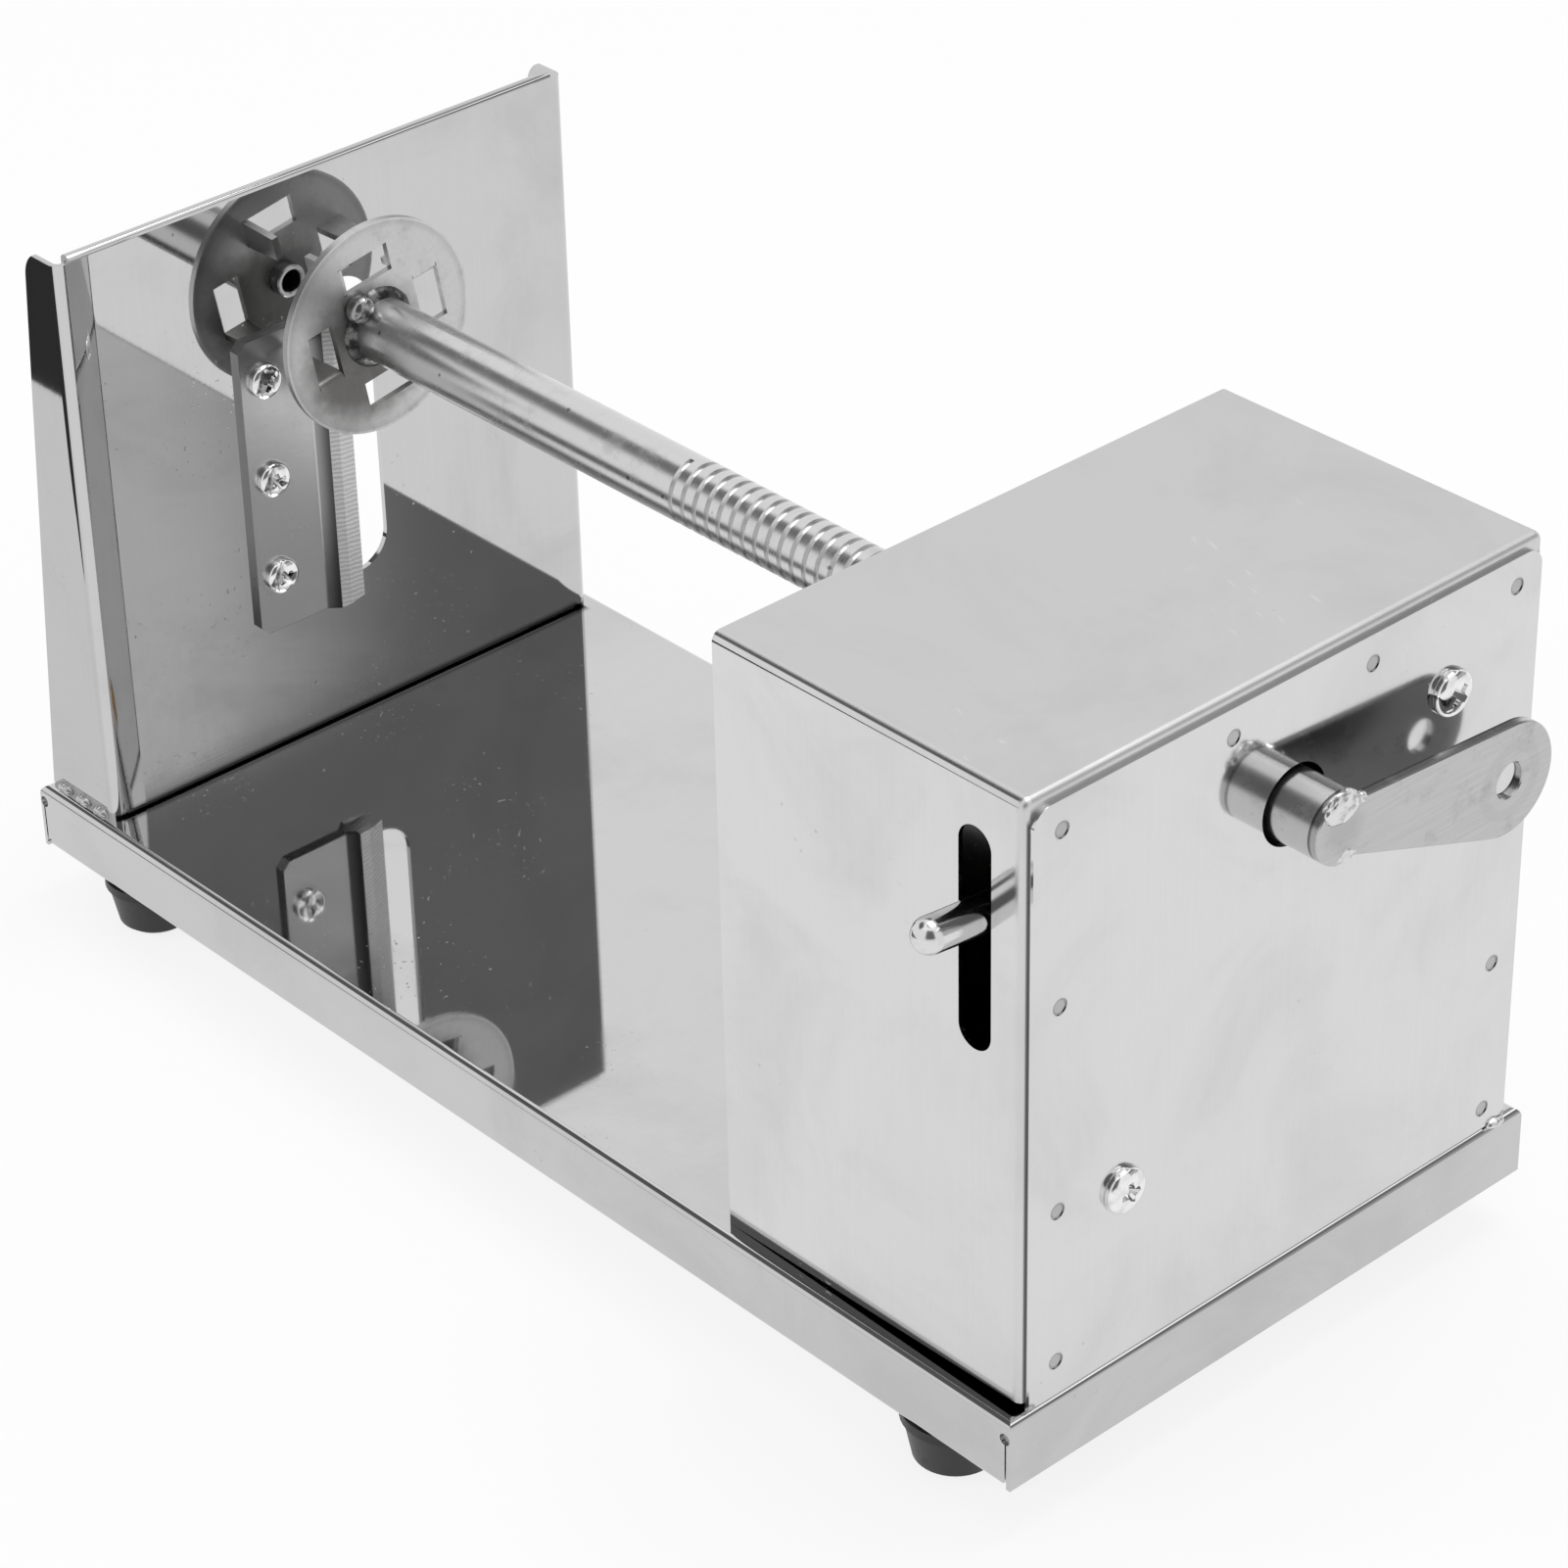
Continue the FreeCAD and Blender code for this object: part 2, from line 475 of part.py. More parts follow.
for y, z in BLADE_PLACES:
    circle(blade_holes, y, z, "m4_radius + blade_hole_clearance")
cut(blade, blade_holes, "4 * blade_sheet", "screw_holes")
skewer_way = sketch(blade, "YZ_Plane", at="plate_front")
circle(skewer_way, "0", "axis_z", "tube_bore_radius + skewer_room")
cut(blade, skewer_way, "4 * (blade_sheet + blade_rise)", "skewer_way")

pan_screws("blade_screws", BLADE_PLACES, "plate_front + blade_sheet", "m4")
hex_nuts("blade_nuts", BLADE_PLACES, ["plate_front - plate_sheet - m4_nut_height"], "m4", "push_fit / 2")

# ---- housing shell: two sides and a top folded from one sheet, with a flange turned in at one end ----

shell = sub_part("housing_shell")
arch = sketch(shell, "YZ_Plane", at="housing_front")
outline(arch, [
    ("-housing_half_width", "tray_depth"), ("-housing_half_width", "housing_top"),
    ("housing_half_width", "housing_top"), ("housing_half_width", "tray_depth"),
    ("housing_half_width - housing_sheet", "tray_depth"),
    ("housing_half_width - housing_sheet", "housing_top - housing_sheet"),
    ("-housing_half_width + housing_sheet", "housing_top - housing_sheet"),
    ("-housing_half_width + housing_sheet", "tray_depth")])
pad(shell, arch, "housing_length - housing_sheet")
shell_side, shell_top, gauge = size("housing_half_width"), size("housing_top"), size("housing_sheet")
fillet(shell, edges(shell.Tip, y=shell_side - gauge, z=shell_top - gauge)
       + edges(shell.Tip, y=gauge - shell_side, z=shell_top - gauge),
       "housing_bend - housing_sheet", "inner_bends")
flange = sketch(shell, "YZ_Plane", at="end_back - housing_sheet")
outline(flange, [
    ("-housing_half_width + housing_sheet / 2", "tray_depth"),
    ("-housing_half_width + housing_sheet / 2", "housing_top - housing_sheet / 2"),
    ("housing_half_width - housing_sheet / 2", "housing_top - housing_sheet / 2"),
    ("housing_half_width - housing_sheet / 2", "tray_depth"),
    ("housing_half_width - housing_flange", "tray_depth"),
    ("housing_half_width - housing_flange", "housing_top - housing_flange"),
    ("-housing_half_width + housing_flange", "housing_top - housing_flange"),
    ("-housing_half_width + housing_flange", "tray_depth")])
pad(shell, flange, "housing_sheet", name="end_flange")
fillet(shell, edges(shell.Tip, y=shell_side, z=shell_top) + edges(shell.Tip, y=-shell_side, z=shell_top),
       "housing_bend", "outer_bends")
end_back = size("end_back")
rim = (edges(shell.Tip, x=end_back, y=shell_side) + edges(shell.Tip, x=end_back, y=-shell_side)
       + edges(shell.Tip, x=end_back, z=shell_top))
fillet(shell, rim, "housing_edge_bend", "edge_bend")
lift = sketch(shell, "XZ_Plane")
outline(lift, [("housing_front", "tray_depth"), ("end_face + 1", "tray_depth - 1"),
               ("end_face + 1", "tray_depth + housing_lift")])
cut(shell, lift, "3 * housing_half_width", "lifted_edge")
slot = sketch(shell, "XZ_Plane", at="-housing_half_width")
band(slot, ("lever_x", "slot_low + slot_width / 2"), "slot_width / 2",
     ("lever_x", "slot_high - slot_width / 2"), "slot_width / 2")
cut(shell, slot, "4 * housing_sheet", "lever_slot")

# ---- end plate: spot-welded on the shell's flange, with a foot turned in along the tray ----

PIVOT, ANCHOR = ("pivot_side", "pivot_z"), ("-anchor_side", "anchor_z")
end = sub_part("end_plate")
panel = sketch(end, "YZ_Plane", at="end_back")
rectangle(panel, "-end_half_width", "tray_depth", "end_half_width", "housing_top - end_top_gap")
pad(end, panel, "housing_sheet")
end_top = size("housing_top") - size("end_top_gap")
fillet(end, edges(end.Tip, y=size("end_half_width"), z=end_top)
       + edges(end.Tip, y=-size("end_half_width"), z=end_top), "end_corner", "top_corners")
end_foot = sketch(end, "XY_Plane", at="tray_depth")
rectangle(end_foot, "end_back - end_foot", "-end_foot_half", "end_face - housing_sheet / 2", "end_foot_half")
pad(end, end_foot, "housing_sheet", name="foot")
fillet(end, edges(end.Tip, x=size("end_face"), z=size("tray_depth")), "0.8 * housing_sheet", "foot_bend")
holes = sketch(end, "YZ_Plane", at="end_face")
circle(holes, "0", "axis_z", "end_hole_radius")
for y, z in (PIVOT, ANCHOR):
    circle(holes, y, z, "m5_radius + m5_hole_clearance")
cut(end, holes, "4 * housing_sheet", "holes")
spots = sketch(end, "YZ_Plane", at="end_face")
near, far = "-(end_half_width - spot_inset)", "end_half_width - spot_inset"
under_top = "housing_top - spot_top_drop"
for y, z in ((near, under_top), ("-spot_top_near", under_top), ("spot_top_far", under_top), (far, under_top),
             (near, "axis_z - spot_near_high"), (near, "axis_z - spot_near_mid"),
             (near, "tray_depth + spot_near_foot"), (far, "axis_z - spot_far_mid"),
             (far, "tray_depth + spot_far_foot")):
    circle(spots, y, z, "spot_radius")
cut(end, spots, "2 * spot_depth", "spot_welds")

# ---- front wall: a shallow pan set inside the shell, its flanges turned to the crank end ----

wall = sub_part("front_wall")
wall_side = "(housing_half_width - housing_sheet)"
front_panel = sketch(wall, "YZ_Plane", at="wall_face")
rectangle(front_panel, f"-{wall_side}", "tray_depth", wall_side, "housing_top - housing_sheet")
pad(wall, front_panel, "wall_flange")
side, top, bottom = shell_side - gauge, shell_top - gauge, size("tray_depth")
corners = [name for y in (side, -side) for z in (top, bottom) for name in edges(wall.Tip, y=y, z=z)]
fillet(wall, corners, "wall_corner", "corners")
fillet(wall, edges(wall.Tip, x=size("wall_face")), "housing_bend", "bends")
back = size("wall_face") + size("wall_flange")
open_side = [f"Face{k}" for k, face in enumerate(wall.Tip.Shape.Faces, start=1)
             if face.BoundBox.XMin > back - 0.01]
feature(wall, "Thickness", "pan", Base=(wall.Tip, open_side), Value="housing_sheet", Reversed=True, Join=0)
bush_hole = sketch(wall, "YZ_Plane", at="wall_face")
circle(bush_hole, "0", "axis_z", "bush_radius + push_fit / 2")
cut(wall, bush_hole, "4 * housing_sheet", "bush_hole")

# ---- bush: a flanged bronze sleeve in the front wall, kept by a snap ring ----

bush = sub_part("front_bush", z="axis_z")
profile = sketch(bush, "XZ_Plane")
bore = "shaft_radius + bush_bore_gap"
ring_seat = "wall_face + housing_sheet"
groove_end = f"{ring_seat} + ring_thickness + 2 * ring_play"
groove_floor = "bush_radius - ring_groove_depth"
bush_end = "wall_face - bush_flange + bush_length"
outline(profile, [
    ("wall_face - bush_flange", bore), ("wall_face - bush_flange", "bush_flange_radius"),
    ("wall_face", "bush_flange_radius"), ("wall_face", "bush_radius"), (ring_seat, "bush_radius"),
    (ring_seat, groove_floor), (groove_end, groove_floor), (groove_end, "bush_radius"),
    (bush_end, "bush_radius"), (bush_end, bore)])
revolve(bush, profile, "H_Axis")
chamfer(bush, edges(bush.Tip, x=size("wall_face") - size("bush_flange")), "bush_chamfer", "lead_in")

ring = sub_part("bush_retainer", z="axis_z")
washer = sketch(ring, "YZ_Plane", at=ring_seat)
circle(washer, "0", "0", "ring_radius")
circle(washer, "0", "0", f"{groove_floor} + ring_play")
pad(ring, washer, "ring_thickness")
mouth = sketch(ring, "YZ_Plane", at=ring_seat)
rectangle(mouth, "-ring_mouth / 2", "-2 * ring_radius", "ring_mouth / 2", "0")
cut(ring, mouth, "4 * ring_thickness", "mouth")

# ---- shaft: a bar with a right-hand thread of wide flat crests, bored at its front for the tube ----

shaft = sub_part("threaded_shaft", z="axis_z")
bar = sketch(shaft, "XZ_Plane")
bore_end = "tube_start + tube_length + tube_end_play"
outline(bar, [
    ("shaft_start", "tube_radius + tube_fit"), ("shaft_start", "shaft_radius"), ("shaft_end", "shaft_radius"),
    ("shaft_end", "0"), (bore_end, "0"), (bore_end, "tube_radius + tube_fit")])
revolve(shaft, bar, "H_Axis", "bar")
groove = sketch(shaft, "XZ_Plane")
outline(groove, [
    ("thread_start - groove_width / 2", "shaft_radius + thread_overlap"),
    ("thread_start", "shaft_radius - thread_depth"),
    ("thread_start + groove_width / 2", "shaft_radius + thread_overlap")])
feature(shaft, "SubtractiveHelix", "thread", Profile=groove, ReferenceAxis=(groove, ["H_Axis"]), Mode=0,
        Pitch="thread_pitch", Height="thread_turns * thread_pitch", LeftHanded=False, Reversed=False)

# ---- pusher disc: a pressed disc whose four windows give the prongs that hold the potato ----

disc = sub_part("pusher_disc", z="axis_z", turn="disc_turn")
round_blank = sketch(disc, "YZ_Plane", at="disc_front")
circle(round_blank, "0", "0", "disc_radius")
circle(round_blank, "0", "0", "tube_radius + tube_fit")
pad(disc, round_blank, "disc_sheet")
opening = sketch(disc, "YZ_Plane", at="disc_front")
rectangle(opening, "disc_window_mid - disc_window_radial / 2", "-disc_window_across / 2",
          "disc_window_mid + disc_window_radial / 2", "disc_window_across / 2")
window_cut = cut(disc, opening, "4 * disc_sheet", "window")
tooth = sketch(disc, "XY_Plane", at="disc_window_across / 2 - disc_sheet / 2")
outline(tooth, [
    ("shaft_start", "disc_window_mid - prong_root_width / 2"),
    ("shaft_start", "disc_window_mid + prong_root_width / 2"),
    ("disc_front - prong_length", "disc_window_mid + prong_tip_width / 2"),
    ("disc_front - prong_length", "disc_window_mid - prong_tip_width / 2")])
prong = pad(disc, tooth, "disc_sheet", middle=True, name="prong")
disc.Tip = feature(disc, "PolarPattern", "four_prongs", Originals=[window_cut, prong],
                   Axis=(datum(disc, "X_Axis"), [""]), Angle=360, Occurrences=4)
doc.recompute()
shaft_start, bend_z = size("shaft_start"), size("disc_window_across") / 2 - size("disc_sheet")
bends, radial_bound = [], (size("disc_window_mid") - size("disc_window_radial"),
                           size("disc_window_mid") + size("disc_window_radial"))
back_bound = (-radial_bound[1], -radial_bound[0])
bends += edges(disc.Tip, x=shaft_start, y=radial_bound, z=bend_z)
bends += edges(disc.Tip, x=shaft_start, y=back_bound, z=-bend_z)
bends += edges(disc.Tip, x=shaft_start, y=-bend_z, z=radial_bound)
bends += edges(disc.Tip, x=shaft_start, y=bend_z, z=back_bound)
fillet(disc, bends, "prong_bend", "prong_bends")

# ---- skewer tube: it stands out of the disc and runs on in the bore of the shaft ----

tube = sub_part("skewer_tube", z="axis_z")
wall_section = sketch(tube, "XZ_Plane")
rectangle(wall_section, "tube_start", "tube_bore_radius", "tube_start + tube_length", "tube_radius")
revolve(tube, wall_section, "H_Axis", "tube")
chamfer(tube, edges(tube.Tip, x=size("tube_start")), "tube_chamfer", "mouth")

# ---- weld between the shaft and the disc: a fillet all round, with the lump where the run ended ----

disc_weld = sub_part("disc_weld", z="axis_z", turn="disc_bead_turn")
fillet_weld = sketch(disc_weld, "XZ_Plane")
outline(fillet_weld, [("shaft_start", "shaft_radius"), ("shaft_start", "shaft_radius + disc_weld_leg"),
                      ("shaft_start + 0.35 * disc_weld_leg", "shaft_radius + 0.5 * disc_weld_leg"),
                      ("shaft_start + disc_weld_leg", "shaft_radius")])
revolve(disc_weld, fillet_weld, "H_Axis", "fillet_weld")
lump = disc_weld.newObject("PartDesign::AdditiveSphere", "lump")
lump.AttachmentSupport = [(datum(disc_weld, "XY_Plane"), "")]
lump.MapMode = "FlatFace"
lump.setExpression("AttachmentOffset.Base.x", bound("shaft_start + 0.25 * disc_bead_radius"))
lump.setExpression("AttachmentOffset.Base.y", bound("shaft_radius + 0.25 * disc_bead_radius"))
lump.setExpression("Radius", bound("disc_bead_radius"))
doc.recompute()
within_shaft = sketch(disc_weld, "XZ_Plane")
rectangle(within_shaft, "shaft_start - 2 * disc_bead_radius", "0",
          "shaft_start + 2 * disc_bead_radius", "shaft_radius")
feature(disc_weld, "Groove", "shaft_room", Profile=within_shaft, ReferenceAxis=(within_shaft, ["H_Axis"]),
        Angle=360)
behind_disc = sketch(disc_weld, "YZ_Plane", at="shaft_start")
circle(behind_disc, "0", "0", "disc_radius")
cut(disc_weld, behind_disc, "2 * disc_bead_radius", "disc_room", middle=False)

# ---- crank arm: a flat strip that widens to a round end, where a handle would be bolted ----

arm = sub_part("crank_arm", z="axis_z", turn="-arm_turn")
strip = sketch(arm, "YZ_Plane", at="shaft_end")
band(strip, ("0", "0"), "arm_neck_radius", ("arm_reach", "0"), "arm_end_radius")
pad(arm, strip, "arm_sheet", name="strip")
cap = sketch(arm, "YZ_Plane", at="shaft_end")
circle(cap, "0", "0", "shaft_radius")
pad(arm, cap, "arm_sheet", name="cap")
handle_hole = sketch(arm, "YZ_Plane", at="shaft_end")
circle(handle_hole, "arm_reach", "0", "handle_hole_radius")
cut(arm, handle_hole, "4 * arm_sheet", "handle_hole")
chamfer(arm, edges(arm.Tip, x=size("arm_face")), "arm_edge", "edge_break")

# ---- release lever: one bent rod from the pivot, over the shaft, and out through the slot ----


def bent_path(made, points, radius):
    """Straight runs through the points, joined by arcs that touch both runs."""
    start = points[0]
    for here, after in zip(points[1:-1], points[2:]):
        into, away = (here - start).normalize(), (after - here).normalize()
        turn = math.acos(max(-1, min(1, into.dot(away))))
        reach = radius * math.tan(turn / 2)
        first, last = here - into * reach, here + away * reach
        bisector = (away - into).normalize()
        middle = here + bisector * (radius / math.cos(turn / 2) - radius)
        made.addGeometry(Part.LineSegment(start, first))
        made.addGeometry(Part.Arc(first, middle, last))
        start = last
    made.addGeometry(Part.LineSegment(start, points[-1]))


lever = sub_part("release_lever")
axis_z, rod, tilt = size("axis_z"), size("rod_radius"), math.radians(size("lever_tilt"))
rod_z = axis_z + size("nut_flats") / 2 + rod
slope = math.tan(tilt)
slot_z = axis_z + size("slot_cross")
tip_y = -size("lever_reach") + rod * (1 - math.cos(tilt))
top_point = FreeCAD.Vector(0, rod_z, 0)
inner_run = [top_point, FreeCAD.Vector(size("rod_flat"), rod_z, 0),
             FreeCAD.Vector(size("pivot_side"), size("pivot_z"), 0)]
outer_run = [top_point, FreeCAD.Vector(-size("rod_flat"), rod_z, 0)]
for y in (-size("rod_low_side"), tip_y):
    outer_run.append(FreeCAD.Vector(y, slot_z - (y + size("housing_half_width")) * slope, 0))
section = sketch(lever, "XZ_Plane")
circle(section, "lever_x", "axis_z + nut_flats / 2 + rod_radius", "rod_radius")
for name, run in (("inner_run", inner_run), ("outer_run", outer_run)):
    spine = sketch(lever, "YZ_Plane", at="lever_x")
    bent_path(spine, run, size("rod_bend"))
    doc.recompute()
    feature(lever, "AdditivePipe", name, Profile=section, Spine=(spine, []))
end_rim = [name for name in edges(lever.Tip, y=(tip_y - 1, tip_y + 1))]
fillet(lever, end_rim, "0.97 * rod_radius", "rounded_tip")
cope = sketch(lever, "YZ_Plane", at="lever_x")
circle(cope, "pivot_side", "pivot_z", "sleeve_radius")
cut(lever, cope, "4 * rod_radius", "cope")

# ---- half nut: half a hexagon nut, tapped so that its thread stays clear of the shaft's ----

half_nut = sub_part("half_nut", z="axis_z")
block = sketch(half_nut, "YZ_Plane", at="nut_start")
half_flats, half_side = "nut_flats / 2", "nut_flats / 2 / sqrt(3)"
skirt_side = f"(2 * {half_side} - nut_skirt / sqrt(3))"
outline(block, [(f"-{skirt_side}", "nut_skirt"), (f"-({half_side})", half_flats),
                (half_side, half_flats), (skirt_side, "nut_skirt")])
pad(half_nut, block, "nut_length", name="half_hexagon")
tap = doc.addObject("PartDesign::Body", "tap")
plug = sketch(tap, "XZ_Plane")
rectangle(plug, "nut_start - nut_length", "0", "nut_start + 2 * nut_length", "shaft_radius + thread_gap")
revolve(tap, plug, "H_Axis", "plug")
flute = sketch(tap, "XZ_Plane")
flute_x = "(thread_start + thread_pitch * (floor((nut_start - thread_start) / thread_pitch) - 1))"
half_flute = "(groove_width / 2 - thread_gap)"
outline(flute, [
    (f"{flute_x} - {half_flute}", "shaft_radius + thread_gap + thread_overlap"),
    (flute_x, "shaft_radius - thread_depth + 1.5 * thread_gap"),
    (f"{flute_x} + {half_flute}", "shaft_radius + thread_gap + thread_overlap")])
feature(tap, "SubtractiveHelix", "flutes", Profile=flute, ReferenceAxis=(flute, ["H_Axis"]), Mode=0,
        Pitch="thread_pitch", Height="(floor(nut_length / thread_pitch) + 3) * thread_pitch",
        LeftHanded=False, Reversed=False)
tapped = half_nut.newObject("PartDesign::Boolean", "tapped")
tapped.Type = "Cut"
tapped.setObjects([tap])
doc.recompute()

# ---- pivot: a sleeve on one of the end plate's two long screws, between a clamp nut and a lock nut ----

sleeve = sub_part("pivot_sleeve")
sleeve_start = "lock_nut_start + m5_nut_height + sleeve_play"
ring_section = sketch(sleeve, "YZ_Plane", at=sleeve_start)
circle(ring_section, "pivot_side", "pivot_z", "sleeve_radius")
circle(ring_section, "pivot_side", "pivot_z", "m5_radius + sleeve_fit")
pad(sleeve, ring_section, f"end_back - m5_nut_height - sleeve_play - ({sleeve_start})", name="sleeve")

pan_screws("end_screws", (PIVOT, ANCHOR), "end_face", "m5")
hex_nuts("end_nuts", (PIVOT, ANCHOR), ["lock_nut_start", "end_back - m5_nut_height"], "m5", "m5_nut_fit")

# ---- return spring: a drawn coil with a hook round the rod and a hook round the lower screw ----

spring = sub_part("return_spring")
SPRING_AXIS = ("lever_x", "-anchor_side")
rod_z_here = "(axis_z + slot_cross - (housing_half_width - anchor_side) * tan(lever_tilt))"
low_hook, high_hook = "(m5_radius + hook_gap + spring_wire / 2)", "(rod_radius + hook_gap + spring_wire / 2)"
coil_length = "spring_turns * spring_pitch"
coil_low = f"((anchor_z + {low_hook} + {rod_z_here} - {high_hook} - {coil_length}) / 2)"
wire = sketch(spring, "XZ_Plane", at=SPRING_AXIS[1], shift=(SPRING_AXIS[0], "0"))
half_wire = "spring_wire / 2"
rectangle(wire, f"spring_radius - {half_wire}", f"{coil_low} - {half_wire}",
          f"spring_radius + {half_wire}", f"{coil_low} + {half_wire}")
feature(spring, "AdditiveHelix", "coil", Profile=wire, ReferenceAxis=(wire, ["V_Axis"]), Mode=0,
        Pitch="spring_pitch", Height=coil_length, LeftHanded=False, Reversed=False)
for z in (coil_low, f"({coil_low} + {coil_length})"):
    crossing = sketch(spring, "XZ_Plane", at=SPRING_AXIS[1], shift=(SPRING_AXIS[0], "0"))
    rectangle(crossing, f"-{half_wire}", f"{z} - {half_wire}", "spring_radius", f"{z} + {half_wire}")
    pad(spring, crossing, "spring_wire", middle=True, name="crossing")
for low, high in ((f"anchor_z + {low_hook}", coil_low),
                  (f"{coil_low} + {coil_length}", f"{rod_z_here} - {high_hook}")):
    leg = sketch(spring, "XZ_Plane", at=SPRING_AXIS[1], shift=(SPRING_AXIS[0], "0"))
    rectangle(leg, f"-{half_wire}", low, half_wire, high)
    pad(spring, leg, "spring_wire", middle=True, name="leg")
for role, centre_u, centre_v, radius in (("YZ_Plane", SPRING_AXIS[1], "anchor_z", low_hook),
                                         ("XZ_Plane", SPRING_AXIS[0], rod_z_here, high_hook)):
    at = SPRING_AXIS[0] if role == "YZ_Plane" else SPRING_AXIS[1]
    hook = sketch(spring, role, at=at)
    circle(hook, centre_u, centre_v, f"{radius} + {half_wire}")
    circle(hook, centre_u, centre_v, f"{radius} - {half_wire}")
    pad(spring, hook, "spring_wire", middle=True, name="hook")

# ---- welds that hold the sheet-metal pieces, the crank and the lever together ----


def place(x, y, z):
    return FreeCAD.Vector(x, y, z)


weld_foot, bead_length = size("tray_depth"), size("plate_bead_length")
plate_beads = []
for side, out in ((-1, (0, 0, 1)), (1, (0, 1, 0))):
    for k in range(3):
        start = place(front - size("plate_flange") + size("plate_bead_inset") + k * size("plate_bead_step"),
                      side * plate_side, weld_foot)
        plate_beads.append(bead(start, (1, 0, 0), bead_length, size("plate_bead"), out))
placed_feature("plate_welds", plate_beads)

bead_length = size("housing_bead_length")
housing_beads = []
for side in (-1, 1):
    start = place(size("wall_face"), side * size("housing_bead_side") - bead_length / 2, weld_foot)
    housing_beads.append(bead(start, (0, 1, 0), bead_length, size("housing_bead"), (-1, 0, 0)))
corner = place(size("end_face"), size("end_half_width") - size("corner_bead_length"), weld_foot)
housing_beads.append(bead(corner, (0, 1, 0), size("corner_bead_length"), size("plate_bead"), (0, 0, 1)))
placed_feature("housing_welds", housing_beads)

origin = place(size("origin_x"), size("origin_y"), size("origin_z"))
x_axis = place(1, 0, 0)


def as_drawn(piece):
    """A finished piece's shape, moved back to the frame in which the pieces are drawn."""
    shape = piece.Shape.copy()
    shape.translate(origin * -1)
    return shape


def outward(degrees):
    """The direction square to the shaft at this angle, from +Y towards +Z."""
    return place(0, math.cos(math.radians(degrees)), math.sin(math.radians(degrees)))


shaft_radius, leg = size("shaft_radius"), size("arm_weld_leg")
axis_point = place(size("shaft_end"), 0, axis_z)
arm_angle, half_sweep = -size("arm_turn"), size("arm_weld_sweep") / 2
ray = outward(arm_angle - half_sweep)
throat = Part.makePolygon([axis_point + ray * shaft_radius, axis_point + ray * (shaft_radius + leg),
                           axis_point + ray * shaft_radius - x_axis * leg, axis_point + ray * shaft_radius])
crank_beads = [Part.Face(throat).revolve(axis_point, x_axis, 2 * half_sweep)]
lump_radius = size("arm_lump_radius")
shaft_room = Part.makeCylinder(shaft_radius, 4 * lump_radius, axis_point - x_axis * 4 * lump_radius, x_axis)
lump_angle = math.degrees(math.asin((size("arm_neck_radius") + size("arm_lump_gap")) / shaft_radius))
lump_lift = size("arm_lump_lift")
for side in (-1, 1):
    centre = axis_point + outward(arm_angle + side * lump_angle) * (shaft_radius + lump_lift)
    lump = Part.makeSphere(lump_radius, centre + x_axis * (size("arm_sheet") - lump_lift - lump_radius))
    crank_beads.append(lump.cut(as_drawn(arm)).cut(shaft_room).cut(crank_beads[0]).Solids[0])
placed_feature("crank_welds", crank_beads)

lever_x, nut_top, leg = size("lever_x"), axis_z + size("nut_flats") / 2, size("lever_weld_leg")
weld_half, weld_root, weld_climb = size("lever_weld_half"), 0.25 * rod, 0.7 * rod
lever_beads = []
for side in (-1, 1):
    corners = [(weld_root, 0), (rod + leg, 0), (rod, weld_climb)]
    points = [place(lever_x + side * across, -weld_half, nut_top + up) for across, up in corners]
    prism = Part.Face(Part.makePolygon(points + points[:1])).extrude(place(0, 2 * weld_half, 0))
    lever_beads.append(prism.cut(as_drawn(lever)).Solids[0])
pivot = place(lever_x, size("pivot_side"), size("pivot_z"))
along_rod = (place(lever_x, size("rod_flat"), rod_z) - pivot).normalize()
sleeve_radius, overlap = size("sleeve_radius"), size("collar_overlap")
collar = Part.makeCone(rod + leg, rod + size("collar_rim"), leg + overlap,
                       pivot + along_rod * (sleeve_radius - overlap), along_rod)
sleeve_room = Part.makeCylinder(sleeve_radius, 4 * sleeve_radius, pivot - x_axis * 2 * sleeve_radius, x_axis)
rod_room = Part.makeCylinder(rod, 4 * sleeve_radius, pivot, along_rod)
lever_beads.append(collar.cut(sleeve_room).cut(rod_room).Solids[0])
placed_feature("lever_welds", lever_beads)

# ---- every object is sound: each piece goes to its own file ----

doc.recompute()
for made in doc.Objects:
    if "Invalid" in made.State or "Error" in made.State:
        raise RuntimeError(f"{made.Name} failed: {made.getStatusString()}")
os.makedirs("parts", exist_ok=True)
for piece in pieces:
    if piece.Shape.isNull() or not piece.Shape.isValid() or not piece.Shape.Solids:
        raise RuntimeError(f"{piece.Label} has no sound shape")
    piece.Shape.exportStep(f"parts/{piece.Label}.step")
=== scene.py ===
import json
import math
import random

import bmesh
import bpy
from mathutils import Matrix, Vector, noise


